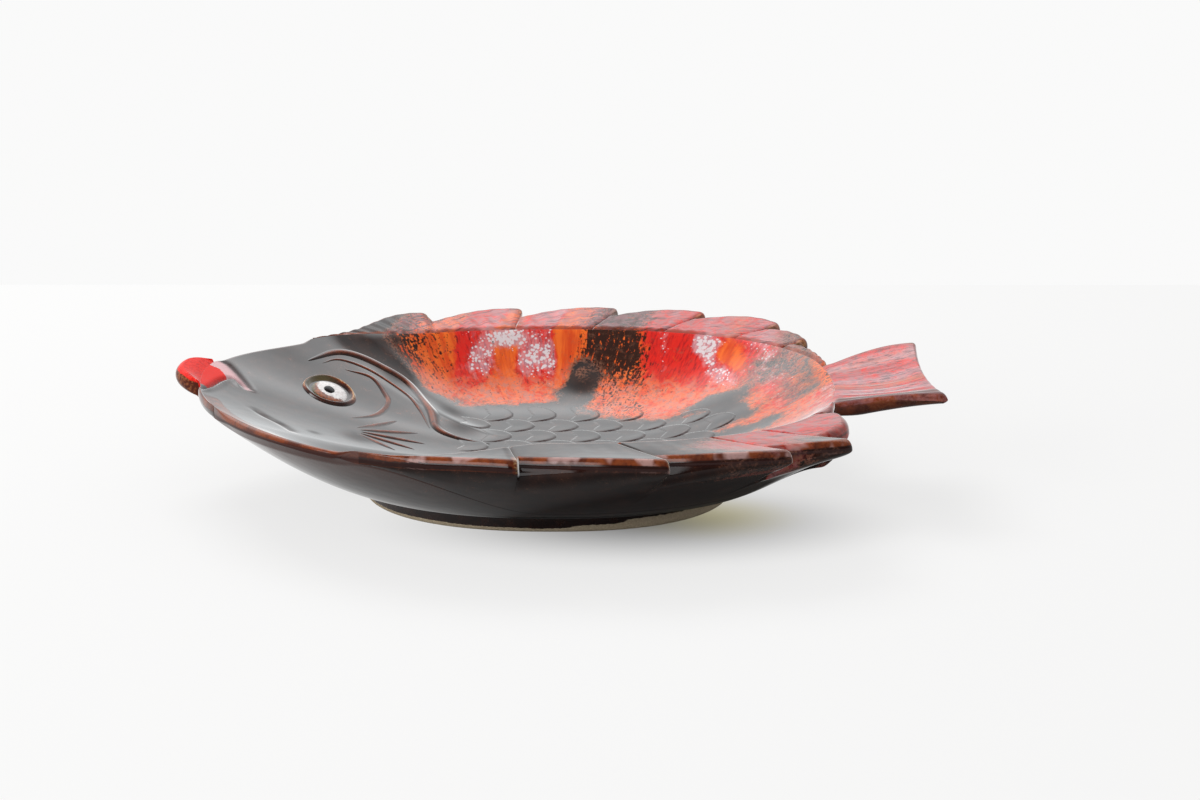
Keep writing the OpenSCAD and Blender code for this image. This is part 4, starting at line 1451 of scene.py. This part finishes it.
def table_finish():
    r = new_recipe("table_white")
    by_camera, by_mirror = seen_by(r)
    reached = r.step(off_oval(r, (0.034, -0.049), (0.074, 0.034)), -0.30, 1.60, 0.10, 0.735)
    shade = r.step(off_oval(r, (0.050, -0.070), (0.100, 0.070)), 0.1, 2.2, -0.55, 0.10) * by_mirror
    glow = r.combine("MAXIMUM", by_camera, by_mirror) * r.combine("MAXIMUM", reached + shade, least_glow)
    tint = r.blend(r.step(off_oval(r, (0.062, -0.042), (0.030, 0.021)), 0.0, 1.5), warm_shade, table_white)
    matt = r.value("ShaderNodeBsdfDiffuse", 0, {"Color": (table_matt, table_matt, table_matt, 1)})
    light = r.value("ShaderNodeEmission", 0, {"Color": tint, "Strength": glow})
    both = r.value("ShaderNodeAddShader", 0, {0: matt, 1: light})
    r.node("ShaderNodeOutputMaterial", {"Surface": both})
    return r.owner


table_mesh = bpy.data.meshes.new("table")
sides = ((-table_half, -table_half), (table_half, -table_half), (table_half, table_far), (-table_half, table_far))
table_mesh.from_pydata([(*side, 0) for side in sides], [], [(0, 1, 2, 3)])
table_mesh.materials.append(table_finish())
table = bpy.data.objects.new("table", table_mesh)
bpy.context.scene.collection.objects.link(table)
table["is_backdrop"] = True
print("the table ends", table_far, "m behind the middle of the platter")

# %% [markdown]
# ## The light
#
# What a wet glaze looks like is mostly what it mirrors. So the room is white to the camera, and to
# the mirrors it is graded by direction: dimmer in front, with a broad bright lamp overhead at the
# back and a bright pane low at the front left. The light that falls on the colours comes from two
# soft lamps, a key lamp behind on the left and a low one at the front left. The mirrors don't see
# them, so that they leave no square marks on the glaze.

# %% Set the light
room_white, room_fill, lamp_strength, pane_strength = 0.955, 0.60, 2.3, 5.0
lamp_aim = mathutils.Vector((0, 0, 0.02))

world = bpy.data.worlds.new("white_room")
bpy.context.scene.world = world
r = Recipe(world)
by_camera, by_mirror = seen_by(r)
toward = r.value("ShaderNodeTexCoord", "Generated")
right, back, up = (Value(r, out) for out in r.node("ShaderNodeSeparateXYZ", {0: toward}).outputs)
front_dim = r.step(back, -0.35, 0.30, 0.22, 1.0)
lamp_above = r.step(up, 0.32, 0.64, room_white, r.step(back, 0.05, 0.45, room_white, lamp_strength))
overhead = r.step(up, 0.84, 0.99, 1.0, 0.70)
pane_wide = r.step(right, -0.90, -0.80) * r.step(right, -0.28, -0.16, 1.0, 0.0)
pane_tall = r.step(up, 0.06, 0.14) * r.step(up, 0.54, 0.64, 1.0, 0.0)
pane = pane_wide * pane_tall * r.step(back, -0.35, -0.2, pane_strength, 0.0)
mirrored = front_dim * lamp_above * overhead + pane
white_or_mirrored = r.step(by_mirror, 0.0, 1.0, room_white, mirrored)
strength = r.step(r.combine("MAXIMUM", by_camera, by_mirror), 0.0, 1.0, room_fill, white_or_mirrored)
tint = r.blend(by_mirror, (1.0, 1.0, 0.998), (0.955, 0.985, 1.0))
room = r.value("ShaderNodeBackground", 0, {"Color": tint, "Strength": strength})
r.node("ShaderNodeOutputWorld", {"Surface": room})


def soft_lamp(name, place, size, power):
    data = bpy.data.lights.new(name, "AREA")
    data.shape, data.energy = "RECTANGLE", power
    data.size, data.size_y = size
    lamp = bpy.data.objects.new(name, data)
    lamp.location = place
    lamp.rotation_euler = (lamp_aim - lamp.location).to_track_quat("-Z", "Y").to_euler()
    lamp.visible_glossy = False
    bpy.context.scene.collection.objects.link(lamp)
    print(name, "at", place, "with", power, "W")


soft_lamp("key_lamp", (-0.45, 0.75, 1.15), (0.9, 0.6), 11)
soft_lamp("low_lamp", (-1.3, -0.95, 0.70), (0.9, 0.7), 14)

# %% [markdown]
# ## Last measures
#
# The picture is in plain colours, and the sizes of the finished skins are written next to those of
# the measured model, so that one glance shows whether they agree.

# %% Measure and finish
bpy.context.scene.view_settings.view_transform = "Standard"
new_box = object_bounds()
for axis in range(3):
    sizes = [[round(corner[axis] * 1000, 2) for corner in box] for box in (cad_box, new_box)]
    print("xyz"[axis], "model", sizes[0], "skins", sizes[1])
